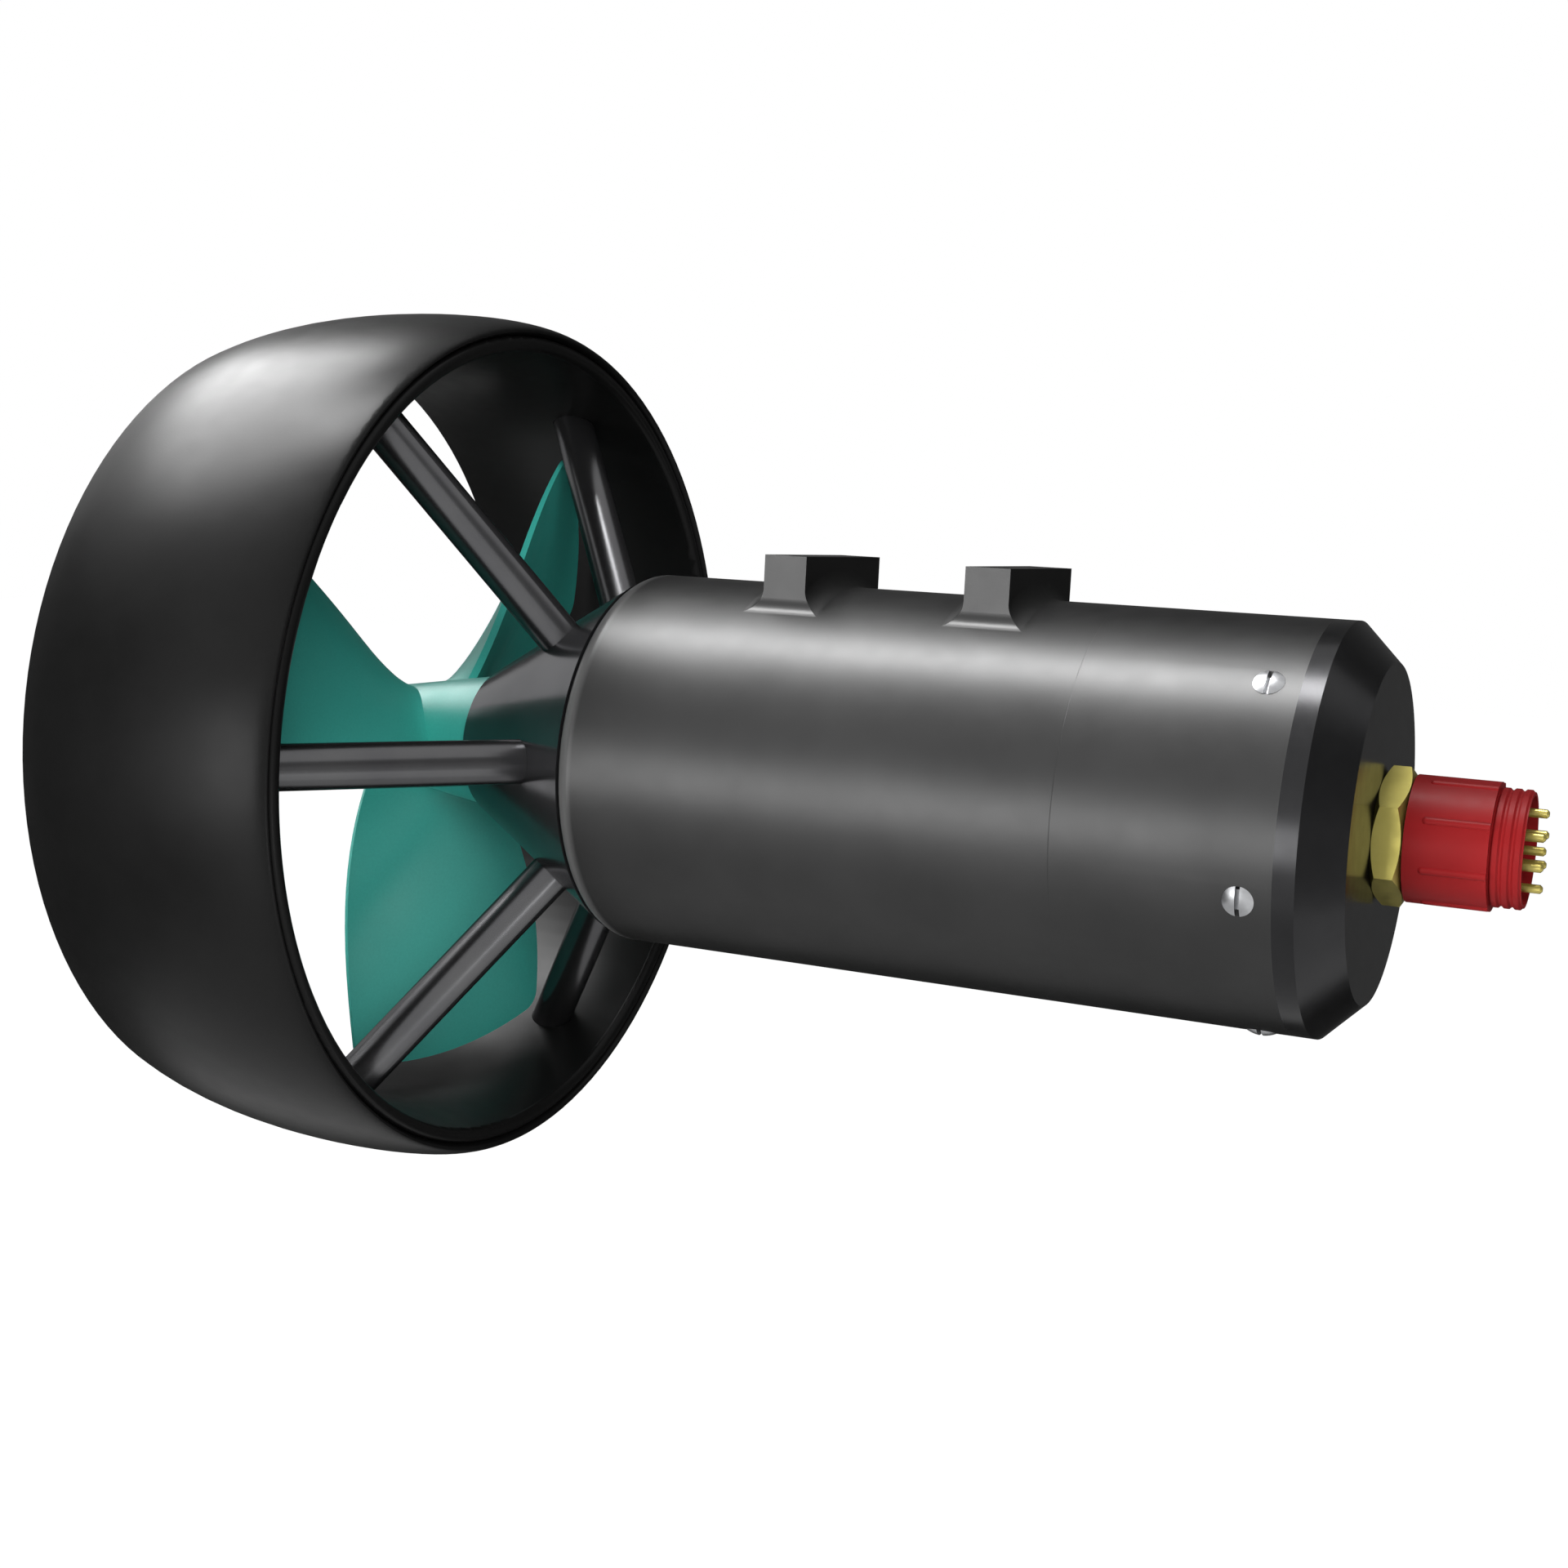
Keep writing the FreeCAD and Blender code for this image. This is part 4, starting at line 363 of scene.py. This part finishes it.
def tone(code):
    """Linear colour of a six-digit screen colour, by the standard screen curve."""
    parts = [int(code[index:index + 2], 16) / 255 for index in (0, 2, 4)]
    return tuple(part / 12.92 if part <= 0.04045 else ((part + 0.055) / 1.055) ** 2.4 for part in parts)


# Marks of turning are drawn out round the axis
TURNED_STRETCH = (1, 30, 30)
ANODISED_METALLIC = 0.9
# The housing's front edge has a painted lighter tone without metal gloss up to the first place, a painted
# highlight that fills the dark reflection along its rounding, and is fully anodised from the second
PAINTED_EDGE_LIGHT_WIDTH = 2.5 * MM
PAINTED_EDGE_LIGHT_FADE_END = 1.6 * PAINTED_EDGE_LIGHT_WIDTH
JOINT_LINE_WIDTH = 0.15 * MM
JOINT_LINE_DEPTH = 0.12 * JOINT_LINE_WIDTH


def satin_housing():
    """Dark satin anodised aluminium, turned and bead blasted, with a hairline where the tubes meet and a
    painted highlight along the front edge.
    """
    edge_tint = (0.45, 0.45, 0.45)
    finish = Finish("satin_anodised_housing", ANODISED_METALLIC, 0.3, edge_tint)
    marks = finish.clouds(0.6 * MM, 3, TURNED_STRETCH)
    anodised = finish.colour(finish.clouds(18 * MM), tone("3e3e3e"), tone("434343"))
    finish.gloss(finish.clouds(4 * MM, 5), 0.36, 0.385)
    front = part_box("motor_housing")[0][0] - SEAM
    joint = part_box("motor_housing")[1][0] - SEAM
    # Painted highlight: a pale, non-metallic strip along the front edge that brightens its rounding
    beyond_painted_edge_light = finish.ranged(finish.along(), 0, 1, front + PAINTED_EDGE_LIGHT_WIDTH, front + PAINTED_EDGE_LIGHT_FADE_END)
    finish.blend(beyond_painted_edge_light, tone("585858"), anodised)
    metallic = finish.ranged(beyond_painted_edge_light, 0, ANODISED_METALLIC, 0, 1)
    finish.tree.links.new(metallic, finish.shader.inputs["Metallic"])
    finish.press(finish.hairline(joint, JOINT_LINE_WIDTH), JOINT_LINE_DEPTH)
    finish.press(marks, 0.004 * MM)
    finish.press(finish.clouds(0.25 * MM, 2), 0.006 * MM)
    return finish.material


def satin_cone():
    """The same aluminium turned finer, so that it mirrors the struts softly."""
    finish = Finish("fine_turned_cone", ANODISED_METALLIC, 0.3, edge_tint=(0.6, 0.6, 0.6))
    finish.colour(finish.clouds(15 * MM), tone("666668"), tone("6e6e70"))
    finish.gloss(finish.clouds(4 * MM, 5), 0.17, 0.2)
    finish.press(finish.clouds(0.5 * MM, 3, TURNED_STRETCH), 0.0015 * MM)
    return finish.material


def polished_cap():
    """Dark anodised end cap, smoother than the tubes."""
    finish = Finish("polished_anodised_cap", ANODISED_METALLIC, 0.4)
    finish.colour(finish.clouds(12 * MM), tone("2e2e2f"), tone("333334"))
    finish.gloss(finish.clouds(3 * MM, 5), 0.22, 0.26)
    finish.press(finish.clouds(0.5 * MM, 3, TURNED_STRETCH), 0.0003 * MM)
    return finish.material


def moulded_black():
    """Black moulded plastic with a faint moulding skin."""
    finish = Finish("black_moulded_plastic", specular=0.11)
    finish.colour(finish.clouds(20 * MM), tone("101010"), tone("141414"))
    finish.gloss(finish.clouds(6 * MM, 5), 0.3, 0.34)
    finish.press(finish.clouds(0.35 * MM, 3), 0.008 * MM)
    return finish.material


def black_rod():
    """Black drawn rod with marks along its length."""
    finish = Finish("black_drawn_rod", metallic=0.9, specular=0.3, edge_tint=(0.4, 0.4, 0.4))
    finish.colour(finish.clouds(12 * MM), tone("58585a"), tone("5f5f60"))
    finish.gloss(finish.clouds(0.8 * MM, 4), 0.23, 0.26)
    finish.press(finish.clouds(0.2 * MM, 2), 0.0015 * MM)
    return finish.material


def teal_nylon():
    """Fibre-filled teal nylon of the propeller, with a fine speckle."""
    finish = Finish("teal_glass_filled_nylon", specular=0.3)
    finish.colour(finish.clouds(0.5 * MM, 3), tone("3fb0a3"), tone("43b6a9"))
    finish.gloss(finish.clouds(7 * MM, 5), 0.4, 0.46)
    finish.press(finish.clouds(0.3 * MM, 3), 0.007 * MM)
    return finish.material


def turned_brass():
    """Machined brass, slightly dulled."""
    finish = Finish("machined_brass", metallic=0.9, specular=0.5)
    finish.colour(finish.clouds(5 * MM, 4), tone("aca156"), tone("b6ab5f"))
    finish.gloss(finish.clouds(2 * MM, 5), 0.3, 0.42)
    finish.press(finish.clouds(0.4 * MM, 3, TURNED_STRETCH), 0.003 * MM)
    return finish.material


def pin_brass():
    """Drawn brass of the contact pins, with marks along them."""
    finish = Finish("drawn_contact_brass", metallic=0.9)
    finish.colour(finish.clouds(2 * MM, 3), tone("bdae5c"), tone("cbbd6c"))
    finish.gloss(finish.clouds(0.8 * MM, 4), 0.29, 0.36)
    finish.press(finish.clouds(0.2 * MM, 2, (6, 1, 1)), 0.002 * MM)
    return finish.material


def red_sleeve():
    """Satin red anodised locking sleeve."""
    finish = Finish("satin_red_sleeve", specular=0.08)
    finish.colour(finish.clouds(8 * MM, 4), tone("8a1c1e"), tone("911f21"))
    finish.gloss(finish.clouds(2 * MM, 5), 0.38, 0.48)
    finish.press(finish.clouds(0.25 * MM, 3), 0.005 * MM)
    return finish.material


def bright_steel():
    """Bright stainless steel of the shaft and the small fasteners."""
    finish = Finish("bright_stainless_steel", metallic=1.0)
    finish.colour(finish.clouds(3 * MM, 4), tone("a9aaac"), tone("bcbdbf"))
    finish.gloss(finish.clouds(1.2 * MM, 4), 0.2, 0.26)
    finish.press(finish.clouds(0.15 * MM, 2), 0.0004 * MM)
    return finish.material


def screw_steel():
    """Stainless steel of the screw heads, with the dull marks of turning."""
    finish = Finish("turned_screw_steel", metallic=1.0)
    finish.colour(finish.clouds(1.5 * MM, 4), tone("9fa0a2"), tone("b0b1b3"))
    finish.gloss(finish.clouds(0.6 * MM, 4), 0.3, 0.38)
    finish.press(finish.clouds(0.15 * MM, 2), 0.0006 * MM)
    return finish.material


def ground_steel():
    """Ground steel of the bearings."""
    finish = Finish("ground_bearing_steel", metallic=1.0)
    finish.colour(finish.clouds(4 * MM, 4), tone("8e9196"), tone("9fa2a7"))
    finish.gloss(finish.clouds(1 * MM, 4), 0.12, 0.2)
    finish.press(finish.clouds(0.2 * MM, 2, TURNED_STRETCH), 0.001 * MM)
    return finish.material


def black_rubber():
    """Dull black rubber of the seals."""
    finish = Finish("black_seal_rubber", specular=0.3)
    finish.colour(finish.clouds(4 * MM, 4), tone("161616"), tone("202020"))
    finish.gloss(finish.clouds(1 * MM, 5), 0.6, 0.75)
    finish.press(finish.clouds(0.15 * MM, 3), 0.006 * MM)
    return finish.material


def laminated_iron():
    """Stack of stamped sheets, with a line between two sheets."""
    finish = Finish("laminated_motor_iron", metallic=0.8)
    finish.colour(finish.clouds(4 * MM, 4), tone("5a5854"), tone("6b6864"))
    finish.gloss(finish.clouds(1 * MM, 4), 0.42, 0.55)
    finish.press(finish.bands(0.5 * MM), 0.02 * MM)
    return finish.material


def wound_copper():
    """Enamelled wire in layers round each tooth, with painted shade in the grooves between the wires."""
    finish = Finish("enamelled_copper_wire", metallic=0.8, coat=0.4)
    wires = finish.bands(0.9 * MM, waver=0.2, rings=True)
    # Painted shade: the colour darkens in the grooves between the wires and lightens on their crests,
    # following the relief
    finish.colour(wires, tone("7a3d1e"), tone("b9652f"), 0.1, 0.8)
    finish.gloss(finish.clouds(1.5 * MM, 4), 0.29, 0.36)
    finish.press(wires, 0.15 * MM)
    return finish.material


def nickel_magnet():
    """Nickel plating of the rotor's magnets."""
    finish = Finish("nickel_plated_magnet", metallic=1.0)
    finish.colour(finish.clouds(5 * MM, 4), tone("9c9a92"), tone("b1afa6"))
    finish.gloss(finish.clouds(0.8 * MM, 5), 0.29, 0.36)
    finish.press(finish.clouds(0.3 * MM, 3), 0.003 * MM)
    return finish.material


def raw_plate():
    """Uncoated machined aluminium of the bearing plate."""
    finish = Finish("machined_aluminium_plate", metallic=1.0)
    finish.colour(finish.clouds(8 * MM, 4), tone("9a9c9f"), tone("acaeb1"))
    finish.gloss(finish.clouds(1.5 * MM, 5), 0.29, 0.4)
    finish.press(finish.bands(0.35 * MM, rings=True), 0.006 * MM)
    return finish.material


def black_insert():
    """Black insulator that holds the contact pins."""
    finish = Finish("black_insulator", specular=0.35)
    finish.colour(finish.clouds(3 * MM, 4), tone("151515"), tone("1d1d1d"))
    finish.gloss(finish.clouds(1 * MM, 5), 0.4, 0.55)
    finish.press(finish.clouds(0.15 * MM, 3), 0.004 * MM)
    return finish.material


def circuit_board():
    """Green solder mask over copper tracks."""
    finish = Finish("green_circuit_board", specular=0.5, coat=0.3)
    tracks = finish.cells(2.2 * MM)
    finish.colour(tracks, tone("1d5a34"), tone("2f7a45"), 0.30, 0.36)
    finish.gloss(finish.clouds(2 * MM, 4), 0.29, 0.36)
    finish.press(tracks, 0.03 * MM)
    return finish.material


def capacitor_sleeve():
    """Shrunk dark sleeve of a capacitor, with fine wrinkles round the rim."""
    finish = Finish("capacitor_sleeve", specular=0.5)
    finish.colour(finish.clouds(2 * MM, 3, (4, 1, 1)), tone("1b2230"), tone("262f42"))
    finish.gloss(finish.clouds(1 * MM, 4), 0.29, 0.36)
    finish.press(finish.clouds(0.4 * MM, 2, (5, 1, 1)), 0.01 * MM)
    return finish.material


def lead_insulation():
    """Black silicone round the leads, dull and slightly wavy."""
    finish = Finish("silicone_lead_insulation", specular=0.35)
    finish.colour(finish.clouds(3 * MM, 3, (5, 1, 1)), tone("1a1a1a"), tone("242424"))
    finish.gloss(finish.clouds(1 * MM, 4), 0.45, 0.6)
    finish.press(finish.clouds(0.6 * MM, 2, (8, 1, 1)), 0.01 * MM)
    return finish.material


def dress(material, *names):
    """Gives CAD nodes a finish, in every material slot that they have."""
    for name in names:
        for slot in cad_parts[name].material_slots:
            slot.material = material


def dress_all():
    """Gives every piece of the thruster its finish."""
    struts = ["strut_%d" % (index + 1) for index in range(STRUT_COUNT)]
    rings = ("outer", "inner", "balls")
    bearings = ["%s_bearing_%s" % (end, ring) for end in ("front", "rear") for ring in rings]
    dress(satin_housing(), "motor_housing", "electronics_housing")
    dress(satin_cone(), "nose_cone")
    dress(polished_cap(), "end_cap")
    dress(moulded_black(), "duct_ring")
    dress(black_rod(), *struts)
    dress(teal_nylon(), "propeller")
    dress(turned_brass(), "connector_body", "connector_lock_nut")
    dress(pin_brass(), "contact_pins")
    dress(red_sleeve(), "locking_sleeve")
    dress(screw_steel(), "cap_screws")
    dress(bright_steel(), "propeller_nut", "nut_washer", "drive_shaft", "drive_pin", "cone_screws",
          "board_screws", "bearing_retaining_ring", "plate_retaining_ring", "sleeve_snap_ring")
    dress(ground_steel(), *bearings)
    dress(black_rubber(), "shaft_seal", "cone_o_ring", "joint_o_ring", "cap_o_ring_front",
          "cap_o_ring_rear", "connector_o_ring")
    dress(laminated_iron(), "stator_core", "rotor_core")
    dress(wound_copper(), "stator_windings")
    dress(nickel_magnet(), "rotor_magnets")
    dress(raw_plate(), "rear_bearing_plate", "board_standoffs")
    dress(black_insert(), "contact_insert")
    dress(circuit_board(), "controller_board")
    dress(capacitor_sleeve(), "capacitors")
    dress(lead_insulation(), "motor_leads", "contact_leads")


bpy.context.scene.view_settings.view_transform = "Standard"
set_camera()
set_room()
set_floor()
set_lamps()
set_flags()
dress_all()
